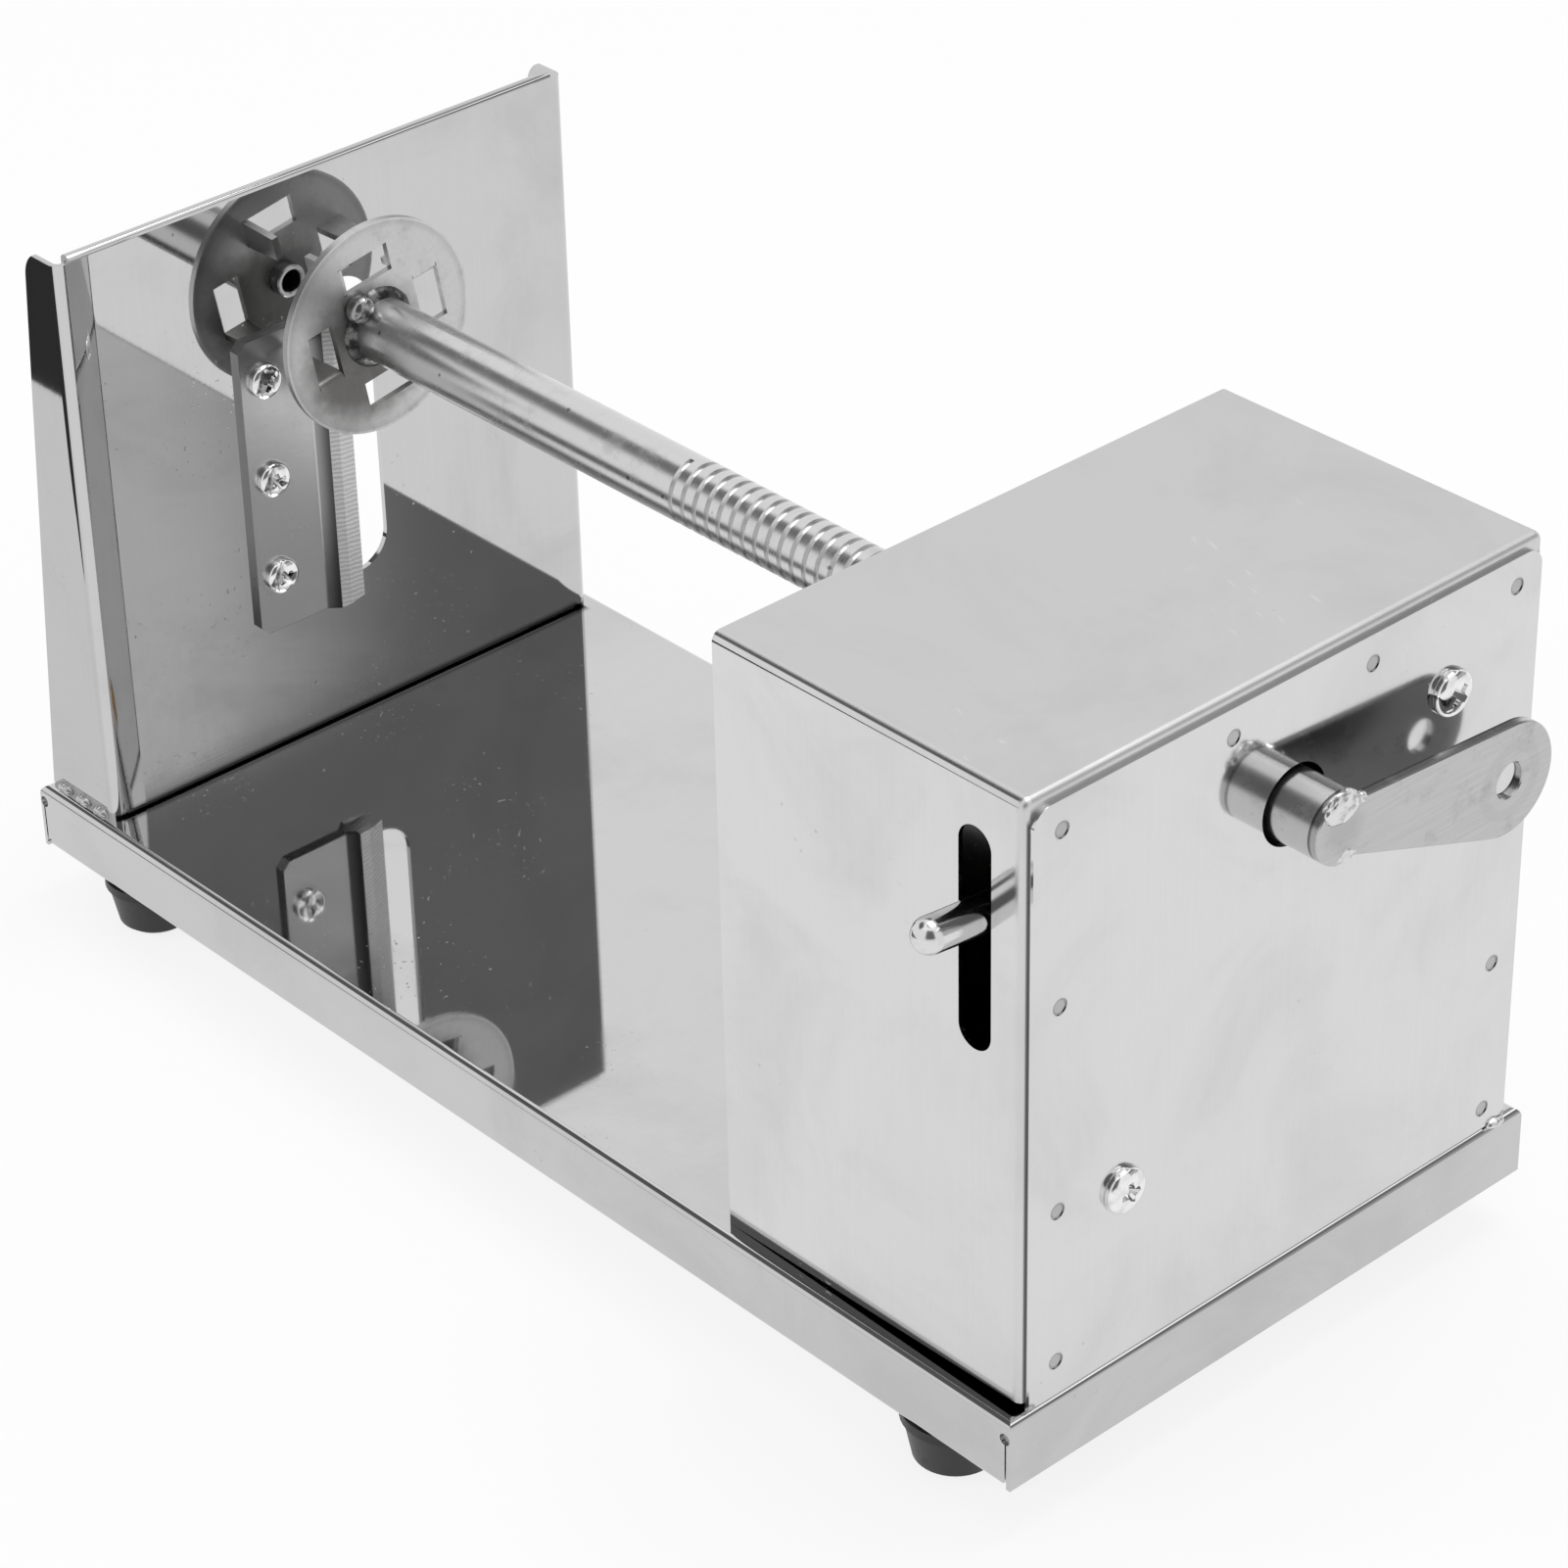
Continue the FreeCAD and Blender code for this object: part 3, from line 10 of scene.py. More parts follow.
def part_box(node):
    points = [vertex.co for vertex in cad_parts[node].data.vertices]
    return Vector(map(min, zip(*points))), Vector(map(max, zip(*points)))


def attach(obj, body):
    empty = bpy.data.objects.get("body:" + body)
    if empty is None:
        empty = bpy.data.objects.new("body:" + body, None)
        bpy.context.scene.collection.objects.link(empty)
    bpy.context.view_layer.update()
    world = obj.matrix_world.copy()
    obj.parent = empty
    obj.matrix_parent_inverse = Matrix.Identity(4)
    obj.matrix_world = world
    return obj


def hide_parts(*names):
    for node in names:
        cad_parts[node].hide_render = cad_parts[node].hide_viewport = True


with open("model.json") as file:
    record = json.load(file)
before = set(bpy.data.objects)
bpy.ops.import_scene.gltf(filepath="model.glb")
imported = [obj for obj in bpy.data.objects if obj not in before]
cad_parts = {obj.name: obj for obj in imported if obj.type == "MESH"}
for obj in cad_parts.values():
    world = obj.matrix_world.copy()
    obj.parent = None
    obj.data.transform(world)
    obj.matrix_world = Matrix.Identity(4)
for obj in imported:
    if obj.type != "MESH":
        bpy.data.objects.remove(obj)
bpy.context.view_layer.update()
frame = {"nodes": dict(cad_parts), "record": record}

# A hand-cranked tornado potato cutter of folded stainless steel. The sections follow it as it is put
# together: the studio it stands in, tray and feet, blade plate and blade, housing, shaft and disc,
# crank, release lever with its half nut and spring, and the welds. Lengths are in metres.

nodes = frame["nodes"]
chance = random.Random(7)

# ---- camera ----
# A long lens, up and to the right of the crank end, a little out of level.

camera_place = Vector((0.6317, -0.5494, 0.5980))
camera_aim = Vector((0.0035, 0.0099, 0.0664))
camera_roll = math.radians(-1.35)
camera_lens = 113.55

eye = bpy.data.cameras.new("studio_camera")
eye.lens = camera_lens
eye.sensor_width = 36
camera = bpy.data.objects.new("studio_camera", eye)
bpy.context.scene.collection.objects.link(camera)
looking = (camera_aim - camera_place).to_track_quat("-Z", "Y")
camera.matrix_world = (Matrix.Translation(camera_place) @ looking.to_matrix().to_4x4()
                       @ Matrix.Rotation(camera_roll, 4, "Z"))
bpy.context.scene.camera = camera
bpy.context.scene.view_settings.view_transform = "Standard"

# ---- studio ----
# A white floor and white surroundings, a soft lamp beside the blade end and one overhead, and the grey
# screens and the dark cloth that polished steel needs to look like steel. The large screen stands low
# behind the far side of the crank end, with its near lower corner turned back into the light.


def node(tree, kind, feeds=(), **settings):
    """A shader node: its settings, and for each input the socket that feeds it or its value."""
    made = tree.nodes.new("ShaderNode" + kind)
    for name, value in settings.items():
        setattr(made, name, value)
    for socket, source in dict(feeds).items():
        if isinstance(source, bpy.types.NodeSocket):
            tree.links.new(source, made.inputs[socket])
        else:
            made.inputs[socket].default_value = source
    return made


def sums(tree, operation, first, second=0.0, **settings):
    """One step of arithmetic between two sockets or numbers."""
    return node(tree, "Math", {0: first, 1: second}, operation=operation, **settings).outputs[0]


def times(tree, product, *factors):
    """The product of sockets or numbers."""
    for factor in factors:
        product = sums(tree, "MULTIPLY", product, factor)
    return product


def off(tree, source, middle):
    """How far a value is from a middle, on either side of it."""
    return sums(tree, "ABSOLUTE", sums(tree, "SUBTRACT", source, middle))


def ramp(tree, source, low, high, to_low=0.0, to_high=1.0):
    """A smooth step of a value, from to_low below low to to_high above high."""
    return node(tree, "MapRange", {"Value": source, "From Min": low, "From Max": high, "To Min": to_low,
                                   "To Max": to_high}, interpolation_type="SMOOTHSTEP").outputs["Result"]


def between(tree, share, first, second):
    """A value between two, by a share from 0 to 1."""
    return node(tree, "Mix", {0: share, 2: first, 3: second}, data_type="FLOAT").outputs[0]


def seen_directly(tree):
    """1 for the rays that show a surface itself: from the camera, in a mirror, or through glass."""
    path = node(tree, "LightPath")
    mirrored = sums(tree, "MAXIMUM", path.outputs["Is Glossy Ray"], path.outputs["Is Transmission Ray"])
    return sums(tree, "MAXIMUM", path.outputs["Is Camera Ray"], mirrored), path.outputs["Is Camera Ray"]


SCREEN_AZIMUTH, SCREEN_HALF_WIDTH, SCREEN_TOP = math.radians(42), math.radians(30), math.radians(38)
SCREEN_SIDE_SOFT, SCREEN_TOP_SOFT = 0.12, 0.03
SCREEN_GREY, SCREEN_FOOT_GREY, FOOT_FROM, FOOT_TO = 0.23, 0.5, 0.2, 0.42
FILL_LEVEL, LOW_LEVEL, HIGH_LEVEL, LOW_UP_TO, HIGH_FROM = 0.8, 0.93, 1.15, 0.7, 1.2
CORNER_LIGHT, CORNER_FROM, CORNER_TO = 0.9, math.radians(37.3), math.radians(33.3)
CORNER_EDGE, CORNER_SLOPE, CORNER_SOFT = math.radians(31.86), 0.3123, math.radians(0.12)
# Azimuth, half width, elevation, half height and soft edge in degrees, and the level, of each other
# screen: behind the blade plate, round the camera, high over the crank end, the light strip there, and
# straight overhead.
SIDE_SCREENS = ((-157, 26, 47, 9, 8, 0.12), (-42, 22, 32, 18, 14, 0.15), (90, 24, 56, 7, 6, 0.4),
                (50, 34, 43.5, 2.5, 2, 1.6), (0, 180, 90, 12, 8, 0.6))

world = bpy.data.worlds.new("studio")
world.use_nodes = True
bpy.context.scene.world = world
air = world.node_tree
air.nodes.clear()
direction = node(air, "SeparateXYZ", {0: node(air, "TexCoord").outputs["Generated"]})
azimuth = sums(air, "ARCTAN2", direction.outputs["Y"], direction.outputs["X"])
elevation = sums(air, "ARCSINE", direction.outputs["Z"])
across = ramp(air, off(air, azimuth, SCREEN_AZIMUTH), SCREEN_HALF_WIDTH, SCREEN_HALF_WIDTH + SCREEN_SIDE_SOFT,
              1, 0)
screen = times(air, across, ramp(air, elevation, SCREEN_TOP, SCREEN_TOP + SCREEN_TOP_SOFT, 1, 0))
slanted = times(air, sums(air, "SUBTRACT", azimuth, CORNER_TO), CORNER_SLOPE)
over_edge = sums(air, "SUBTRACT", sums(air, "ADD", elevation, slanted), CORNER_EDGE)
corner = times(air, ramp(air, azimuth, CORNER_TO, CORNER_FROM, 1, 0),
               ramp(air, over_edge, -CORNER_SOFT, CORNER_SOFT, 1, 0))
screen_grey = ramp(air, elevation, FOOT_FROM, FOOT_TO, SCREEN_FOOT_GREY, SCREEN_GREY)
surroundings = ramp(air, elevation, LOW_UP_TO, HIGH_FROM, LOW_LEVEL, HIGH_LEVEL)
surroundings = between(air, screen, surroundings, between(air, corner, screen_grey, CORNER_LIGHT))
for *angles, side_level in SIDE_SCREENS:
    middle, wide, height, tall, soft = (math.radians(angle) for angle in angles)
    covered = times(air, ramp(air, off(air, azimuth, middle), wide, wide + soft, 1, 0),
                    ramp(air, off(air, elevation, height), tall, tall + soft, 1, 0))
    surroundings = between(air, covered, surroundings, side_level)
shown, from_camera = seen_directly(air)
level = between(air, from_camera, between(air, shown, FILL_LEVEL, surroundings), 1.0)
sky = node(air, "Background", {"Color": (1, 1, 1, 1), "Strength": level})
air.links.new(sky.outputs[0], node(air, "OutputWorld").inputs["Surface"])


def stage_plane(name, low, high, height):
    """A flat stage piece between two corners."""
    sheet = bpy.data.meshes.new(name)
    sheet.from_pydata([(low[0], low[1], height), (high[0], low[1], height), (high[0], high[1], height),
                       (low[0], high[1], height)], [], [(0, 1, 2, 3)])
    piece = bpy.data.objects.new(name, sheet)
    bpy.context.scene.collection.objects.link(piece)
    return piece


FLOOR_REACH, FLOOR_HEIGHT, FLOOR_WHITE, FLOOR_KEEPS_SHADOW = 4.0, -0.0002, 0.8, 0.16
floor = stage_plane("floor", (-FLOOR_REACH, -FLOOR_REACH), (FLOOR_REACH, FLOOR_REACH), FLOOR_HEIGHT)
paper = bpy.data.materials.new("white_paper")
paper.use_nodes = True
tree = paper.node_tree
tree.nodes.clear()
lit = node(tree, "BsdfDiffuse", {"Color": (FLOOR_WHITE, FLOOR_WHITE, FLOOR_WHITE, 1)})
glow = node(tree, "Emission", {"Color": (1, 1, 1, 1), "Strength": 1.0})
share = times(tree, seen_directly(tree)[0], 1 - FLOOR_KEEPS_SHADOW)
blend = node(tree, "MixShader", {0: share, 1: lit.outputs[0], 2: glow.outputs[0]})
tree.links.new(blend.outputs[0], node(tree, "OutputMaterial").inputs["Surface"])
floor.data.materials.append(paper)

CLOTH_LOW, CLOTH_HIGH, CLOTH_HEIGHT, CLOTH_GREY = (-0.9, -0.75), (-0.2, -0.195), 0.0004, 0.012
cloth = stage_plane("dark_floor_edge", CLOTH_LOW, CLOTH_HIGH, CLOTH_HEIGHT)
dark = bpy.data.materials.new("dark_cloth")
dark.use_nodes = True
shader = dark.node_tree.nodes["Principled BSDF"]
shader.inputs["Base Color"].default_value = (CLOTH_GREY, CLOTH_GREY, CLOTH_GREY, 1)
shader.inputs["Roughness"].default_value = 0.9
cloth.data.materials.append(dark)
cloth.visible_camera = False
cloth.visible_diffuse = False
cloth.visible_shadow = False


def soft_lamp(name, place, aim, width, power, mirrored=True):
    """A square soft box that looks from its place at its aim, and may be kept out of reflections."""
    lamp = bpy.data.lights.new(name, "AREA")
    lamp.size, lamp.energy = width, power
    box = bpy.data.objects.new(name, lamp)
    bpy.context.scene.collection.objects.link(box)
    box.location = place
    box.rotation_euler = (Vector(aim) - Vector(place)).to_track_quat("-Z", "Y").to_euler()
    box.visible_glossy = mirrored


KEY_PLACE, KEY_AIM = (-1.08, -1.18, 0.62), (0, 0, 0.1)
soft_lamp("key_lamp", KEY_PLACE, KEY_AIM, 0.3, 4.0, mirrored=False)
soft_lamp("key_glint", KEY_PLACE, KEY_AIM, 0.3, 0.5)
soft_lamp("top_lamp", (0.1, 0.35, 1.6), (0, 0, 0.05), 0.8, 10)

# ---- finishes that the sheet-metal pieces share ----
# Stainless sheet comes polished, with the long faint streaks of its rolling, hairlines from
# handling, cloudy patches where it was wiped, and shallow waves where it was folded.


def group_of(name, inputs, outputs):
    """A node group with float or vector inputs, each with its value, and float outputs."""
    group = bpy.data.node_groups.new(name, "ShaderNodeTree")
    for label, value in inputs.items():
        kind = "NodeSocketVector" if isinstance(value, tuple) else "NodeSocketFloat"
        group.interface.new_socket(label, in_out="INPUT", socket_type=kind).default_value = value
    for label in outputs:
        group.interface.new_socket(label, in_out="OUTPUT", socket_type="NodeSocketFloat")
    return group, group.nodes.new("NodeGroupInput").outputs, group.nodes.new("NodeGroupOutput").inputs


def point_in(tree):
    """The place of a point of the piece."""
    return node(tree, "TexCoord").outputs["Object"]


def stretched(tree, place, by):
    """The place with each coordinate times its own factor."""
    return node(tree, "VectorMath", {0: place, 1: by}, operation="MULTIPLY").outputs[0]


def grain(tree, place, scale=1.0, detail=2.0, roughness=0.5, distortion=0.0):
    """Noise from 0 to 1."""
    return node(tree, "TexNoise", {"Vector": place, "Scale": scale, "Detail": detail, "Roughness": roughness,
                                   "Distortion": distortion}).outputs["Fac"]


def pits(tree, place, scale, outer, depth=1.0):
    """Small round pits, one to each cell of this scale."""
    cells = node(tree, "TexVoronoi", {"Vector": place, "Scale": scale}, feature="F1").outputs["Distance"]
    return ramp(tree, cells, outer, 0.13, depth, 0)


sheet_marks, given, result = group_of(
    "sheet_marks", {"Streak Stretch": (1.0, 1.0, 1.0), "Scratch Stretch": (1.0, 1.0, 1.0)},
    ("Streaks", "Scratches", "Clouds", "Waves", "Specks"))
marks = sheet_marks
place = point_in(marks)
streaks = grain(marks, stretched(marks, place, given["Streak Stretch"]), 1.0, 3.0, 0.7)
turned = node(marks, "VectorRotate", {"Vector": place, "Axis": (0.3, 0.5, 0.8), "Angle": 0.35},
              rotation_type="AXIS_ANGLE").outputs[0]
hairlines = grain(marks, stretched(marks, turned, given["Scratch Stretch"]), 1.0, 1.0)
patches = ramp(marks, grain(marks, place, 31.0), 0.48, 0.7)
clouds = grain(marks, place, 22.0, 6.0, 0.62, 0.6)
rare = ramp(marks, grain(marks, place, 45.0), 0.64, 0.7)
marks.links.new(streaks, result["Streaks"])
marks.links.new(times(marks, ramp(marks, hairlines, 0.70, 0.76), patches), result["Scratches"])
marks.links.new(ramp(marks, clouds, 0.42, 0.74), result["Clouds"])
marks.links.new(grain(marks, place, 13.0, 1.5), result["Waves"])
marks.links.new(times(marks, pits(marks, place, 260.0, 0.05), rare), result["Specks"])


def new_finish(name):
    """A new material: the tree that its nodes go in, and its shader."""
    finish = bpy.data.materials.new(name)
    finish.use_nodes = True
    return finish, finish.node_tree, finish.node_tree.nodes["Principled BSDF"]


def feed(tree, shader, colour, roughness, height, distance=1.0, strength=1.0, metallic=1.0):
    """Gives the shader its colour, its roughness and its relief."""
    tree.links.new(colour, shader.inputs["Base Color"])
    tree.links.new(roughness, shader.inputs["Roughness"])
    shader.inputs["Metallic"].default_value = metallic
    bump = node(tree, "Bump", {"Height": height, "Distance": distance, "Strength": strength})
    tree.links.new(bump.outputs[0], shader.inputs["Normal"])


def blended(tree, share, first, second):
    """A colour between two, by a share from 0 to 1."""
    return node(tree, "Mix", {0: share, 6: first, 7: second}, data_type="RGBA").outputs[2]


def grey(tree, share, low, high):
    """A neutral colour between two greys."""
    return blended(tree, share, (low, low, low, 1), (high, high, high, 1))


def weighted(tree, *pairs):
    """The sum of sockets, each times its weight."""
    total = None
    for source, weight in pairs:
        part = times(tree, source, weight)
        total = part if total is None else sums(tree, "ADD", total, part)
    return total


def darkened(tree, colour, dark_mask):
    """The colour, sunk towards black where the mask is high."""
    return blended(tree, dark_mask(tree), colour, (0.01, 0.01, 0.01, 1))


STREAK_ALONG, STREAK_ACROSS, HAIRLINE_ALONG, HAIRLINE_ACROSS = 30.0, 1500.0, 12.0, 900.0
ALONG_Y, ALONG_Z = 1, 2


def sheet_finish(name, rolled_along, roughness, steel=0.66, wave_height=0.00012, extra_height=None,
                 dark_mask=None):
    """Polished stainless sheet, rolled along an axis. Its roughness is a number or a mask."""
    finish, tree, shader = new_finish(name)
    streak = [STREAK_ACROSS] * 3
    streak[rolled_along] = STREAK_ALONG
    hairline = [HAIRLINE_ACROSS] * 3
    hairline[(rolled_along + 1) % 3] = HAIRLINE_ALONG
    out = node(tree, "Group", {"Streak Stretch": streak, "Scratch Stretch": hairline},
               node_tree=sheet_marks).outputs
    shade = weighted(tree, (out["Clouds"], 0.6), (out["Streaks"], 0.25), (out["Specks"], 0.9))
    colour = grey(tree, shade, steel + 0.03, steel - 0.08)
    if dark_mask is not None:
        colour = darkened(tree, colour, dark_mask)
    rough = weighted(tree, (out["Clouds"], 0.03), (out["Scratches"], 0.25), (out["Specks"], 0.3),
                     (out["Streaks"], 0.02))
    base = roughness(tree) if callable(roughness) else roughness
    rough = sums(tree, "ADD", rough, base, use_clamp=True)
    height = weighted(tree, (out["Waves"], wave_height), (out["Streaks"], 0.0000006),
                      (out["Scratches"], -0.000004), (out["Specks"], -0.000006))
    if extra_height is not None:
        height = sums(tree, "ADD", height, extra_height(tree))
    feed(tree, shader, colour, rough, height)
    return finish


# ---- base tray ----
# One pan folded from 1 mm sheet, with return lips along its long sides. It is mirror polished above,
# and its corners are closed by the folds alone. Painted shade lies black where the blade plate stands on it.

tray_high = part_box("base_tray")[1]
plate_low, plate_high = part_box("blade_plate")
plate_middle, plate_half_width = (plate_low.y + plate_high.y) / 2, (plate_high.y - plate_low.y) / 2
FOLD_HEIGHT, SIDE_DULLING = 0.0014, 0.14
# Painted shade: the black line at the plate's foot, and its painted shadow fading out over the tray.
SEAM_REACH, SEAM_SHADOW_SOFT, SEAM_SHADE_DARKNESS = 0.0005, 0.0026, 0.96


def place_in(tree):
    """The three coordinates of a point of the piece."""
    return node(tree, "SeparateXYZ", {0: point_in(tree)}).outputs


def tray_shade(tree):
    """The folded sides are duller than the top, and painted shade makes the seam in front of the plate black.
    """
    place = place_in(tree)
    side = ramp(tree, place["Z"], tray_high.z - FOLD_HEIGHT, tray_high.z - 0.0002, SIDE_DULLING, 0)
    seam_end = plate_high.x + SEAM_REACH
    seam_from = ramp(tree, place["X"], plate_high.x - 0.002, plate_high.x - 0.001)
    seam_to = ramp(tree, place["X"], seam_end, seam_end + SEAM_SHADOW_SOFT, SEAM_SHADE_DARKNESS, 0)
    beside = off(tree, place["Y"], plate_middle)
    by_plate = ramp(tree, beside, plate_half_width - 0.002, plate_half_width - 0.0012, 1, 0)
    on_top = ramp(tree, place["Z"], tray_high.z - 0.0003, tray_high.z - 0.0001)
    return sums(tree, "MAXIMUM", side, times(tree, seam_from, seam_to, by_plate, on_top))


def wear(node_name, finish):
    """Puts a finish on a CAD node."""
    piece = nodes[node_name]
    for slot in piece.material_slots:
        slot.link = "OBJECT"
        slot.material = finish


wear("base_tray", sheet_finish("tray_steel", ALONG_Y, roughness=0.012, steel=0.64, wave_height=0.00002,
                               dark_mask=tray_shade))

# ---- feet ----
# Four moulded black rubber cones, pushed into holes in the lips of the tray. The mould leaves a fine
# matt grain, and dust lies in it.

rubber, tree, shader = new_finish("black_rubber")
place = point_in(tree)
dusty = ramp(tree, grain(tree, place, 160.0, 5.0, 0.7), 0.45, 0.75)
feed(tree, shader, grey(tree, dusty, 0.011, 0.035), ramp(tree, dusty, 0, 1, 0.42, 0.62),
     grain(tree, place, 2200.0, 3.0), 0.00004, 0.7, metallic=0.0)
wear("rubber_feet", rubber)

# ---- blade plate ----
# A folded panel that stands across the tray, with a hem along its top. The sheet is drawn in a
# little towards its side bends.

DRAWN_WIDTH, DRAWN_SLOPE, FOOT_SHADE_DARKNESS = 0.0085, 0.17, 0.98


def drawn_sides(tree):
    """The plate falls away, ever more steeply, over the last stretch before each side bend."""
    off_middle = off(tree, place_in(tree)["Y"], plate_middle)
    into = sums(tree, "MAXIMUM", sums(tree, "SUBTRACT", off_middle, plate_half_width - DRAWN_WIDTH), 0.0)
    return times(tree, into, into, -DRAWN_SLOPE / (2 * DRAWN_WIDTH))


def plate_shade(tree):
    """The side flanges are duller than the front, and painted shade makes the front's foot black at the tray.
    """
    place = place_in(tree)
    off_middle = off(tree, place["Y"], plate_middle)
    side = ramp(tree, off_middle, plate_half_width - 0.0006, plate_half_width - 0.0001, 0, SIDE_DULLING)
    # Painted shade: the front is black at its foot, where it meets the tray.
    foot_top = tray_high.z + SEAM_REACH
    foot = ramp(tree, place["Z"], foot_top, foot_top + 0.0006, FOOT_SHADE_DARKNESS, 0)
    at_front = ramp(tree, place["X"], plate_high.x - 0.0009, plate_high.x - 0.0006)
    return sums(tree, "MAXIMUM", side, times(tree, foot, at_front))


wear("blade_plate", sheet_finish("plate_steel", ALONG_Z, roughness=0.018, steel=0.57, wave_height=0.00003,
                                 extra_height=drawn_sides, dark_mask=plate_shade))

# ---- blade ----
# A strip of hardened steel, stepped away from the plate. Its step is painted dark as a painted reflection,
# and the edge is ground across the strip on the side that meets the potato.

blade_low, blade_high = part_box("blade")
BEVEL_WIDTH, STEP_WIDTH, GRIND_PITCH, GRIND_SLANT = 0.0071, 0.0026, 0.0011, 0.25
bevel_start = blade_high.y - BEVEL_WIDTH
step_start = bevel_start - STEP_WIDTH
ground, tree, shader = new_finish("ground_blade")
point = point_in(tree)
place = node(tree, "SeparateXYZ", {0: point}).outputs
bevel = ramp(tree, place["Y"], bevel_start - 0.0001, bevel_start + 0.0001)
slant = sums(tree, "ADD", place["Z"], times(tree, place["Y"], GRIND_SLANT))
wander = times(tree, grain(tree, point, 420.0), 5.0)
phase = sums(tree, "ADD", times(tree, slant, 2 * math.pi / GRIND_PITCH), wander)
grind = times(tree, sums(tree, "SINE", phase), bevel)
brushed = grain(tree, stretched(tree, point, (60.0, 60.0, 4200.0)), 1.0, 3.0)
blotch = grain(tree, point, 90.0, 5.0, 0.7)
clean_colour = grey(tree, weighted(tree, (blotch, 0.7), (brushed, 0.3)), 0.68, 0.5)
# Painted reflection: the step is painted from dark grey to near black across its slope.
in_step = times(tree, ramp(tree, place["Y"], step_start, step_start + 0.0004),
                ramp(tree, place["X"], blade_low.x + 0.0012, blade_low.x + 0.0015))
painted_step_reflection = grey(tree, ramp(tree, place["Y"], step_start, bevel_start), 0.3, 0.08)
stepped = blended(tree, in_step, clean_colour, painted_step_reflection)
# Painted shade: the side face at the blade's low end and its foot are painted near black.
painted_side_shade = ramp(tree, place["Y"], blade_low.y, blade_low.y + 0.0002, 0.62, 0)
painted_foot_shade = ramp(tree, place["Z"], blade_low.z + 0.00002, blade_low.z + 0.0001, 1, 0)
body_colour = blended(tree, sums(tree, "MAXIMUM", painted_side_shade, painted_foot_shade), stepped, (0.12, 0.12, 0.12, 1))
bevel_colour = grey(tree, weighted(tree, (grind, 0.4), (brushed, 0.6)), 0.52, 0.76)
rough = sums(tree, "ADD", ramp(tree, bevel, 0, 1, 0.2, 0.42), times(tree, blotch, 0.12))
feed(tree, shader, blended(tree, bevel, body_colour, bevel_colour), rough,
     weighted(tree, (grind, 0.000018), (brushed, 0.000004), (blotch, 0.00003)))
wear("blade", ground)

# ---- screws ----
# Pan-head machine screws, cold headed with a cross recess and bright plated, and their hexagon nuts.
# Three small ones clamp the blade, two long ones carry the lever and anchor its spring.

bright_plate, tree, shader = new_finish("bright_plating")
dull = grain(tree, point_in(tree), 380.0, 4.0, 0.65)
rough = ramp(tree, dull, 0.4, 0.8, 0.03, 0.13)
feed(tree, shader, grey(tree, ramp(tree, dull, 0.4, 0.75), 0.86, 0.66), rough, dull, 0.00002, 0.6)


def mesh_piece(name, mesh, finish, smooth_below=math.radians(32)):
    """A new object from a mesh, smooth but for its sharp edges, in one finish."""
    piece = bpy.data.objects.new(name, mesh)
    bpy.context.scene.collection.objects.link(piece)
    mesh.materials.append(finish)
    mesh.shade_smooth()
    made = bmesh.new()
    made.from_mesh(mesh)
    for edge in made.edges:
        edge.smooth = not (len(edge.link_faces) == 2 and edge.calc_face_angle() > smooth_below)
    made.to_mesh(mesh)
    made.free()
    return piece


def skin(made, rings, closed=False, capped=True):
    """Quads from each ring of points to the next, with a face over either end or round to the first."""
    for near, far in zip(rings, rings[1:] + rings[:1] if closed else rings[1:]):
        for k in range(len(near)):
            after = (k + 1) % len(near)
            made.faces.new((near[k], near[after], far[after], far[k]))
    if capped and not closed:
        made.faces.new(rings[0])
        made.faces.new(rings[-1])


def finished(made, name):
    """The mesh of a closed shape, its faces turned outward."""
    bmesh.ops.recalc_face_normals(made, faces=made.faces)
    mesh = bpy.data.meshes.new(name)
    made.to_mesh(mesh)
    made.free()
    return mesh


def turned_mesh(name, profile, sides=48):
    """A closed mesh turned about X from (along, radius) points. The first and last lie on the axis."""
    made = bmesh.new()
    ends = [made.verts.new((profile[0][0], 0, 0)), made.verts.new((profile[-1][0], 0, 0))]
    turns = [2 * math.pi * k / sides for k in range(sides)]
    rings = [[made.verts.new((x, r * math.cos(turn), r * math.sin(turn))) for turn in turns]
             for x, r in profile[1:-1]]
    for k in range(sides):
        after = (k + 1) % sides
        made.faces.new((ends[0], rings[0][after], rings[0][k]))
        for low, high in zip(rings, rings[1:]):
            made.faces.new((low[k], low[after], high[after], high[k]))
        made.faces.new((ends[1], rings[-1][k], rings[-1][after]))
    return finished(made, name)


def carved(mesh, cutter, operation="DIFFERENCE"):
    """The mesh after a boolean with the cutter's mesh."""
    body, tool = (bpy.data.objects.new("carving", m) for m in (mesh, cutter))
    for piece in (body, tool):
        bpy.context.scene.collection.objects.link(piece)
    step = body.modifiers.new("carve", "BOOLEAN")
    step.object, step.operation, step.solver = tool, operation, "EXACT"
    bpy.context.view_layer.update()
    result = bpy.data.meshes.new_from_object(body.evaluated_get(bpy.context.evaluated_depsgraph_get()))
    for piece in (body, tool):
        bpy.data.objects.remove(piece)
    return result


def cross_cutter(reach, half_slot, depth, top):
    """A four-armed punch that narrows with depth, its mouth at top along X."""
    made = bmesh.new()
    rings = []
    for along, spread in ((top + 0.2 * depth, 1.1), (top - 0.35 * depth, 0.82), (top - depth, 0.3)):
        arm, slim = reach * spread, half_slot * (0.55 + 0.45 * spread)
        corners = []
        for k in range(4):
            turn = k * math.pi / 2
            for u, v in ((arm, -slim), (arm, slim), (slim * 1.25, slim * 1.25)):
                corners.append(made.verts.new((along, u * math.cos(turn) - v * math.sin(turn),
                                               u * math.sin(turn) + v * math.cos(turn))))
        rings.append(corners)
    skin(made, rings)
    return finished(made, "cross_cutter")


ROWS_PER_TURN, THREAD_DEPTH = 8, 0.3


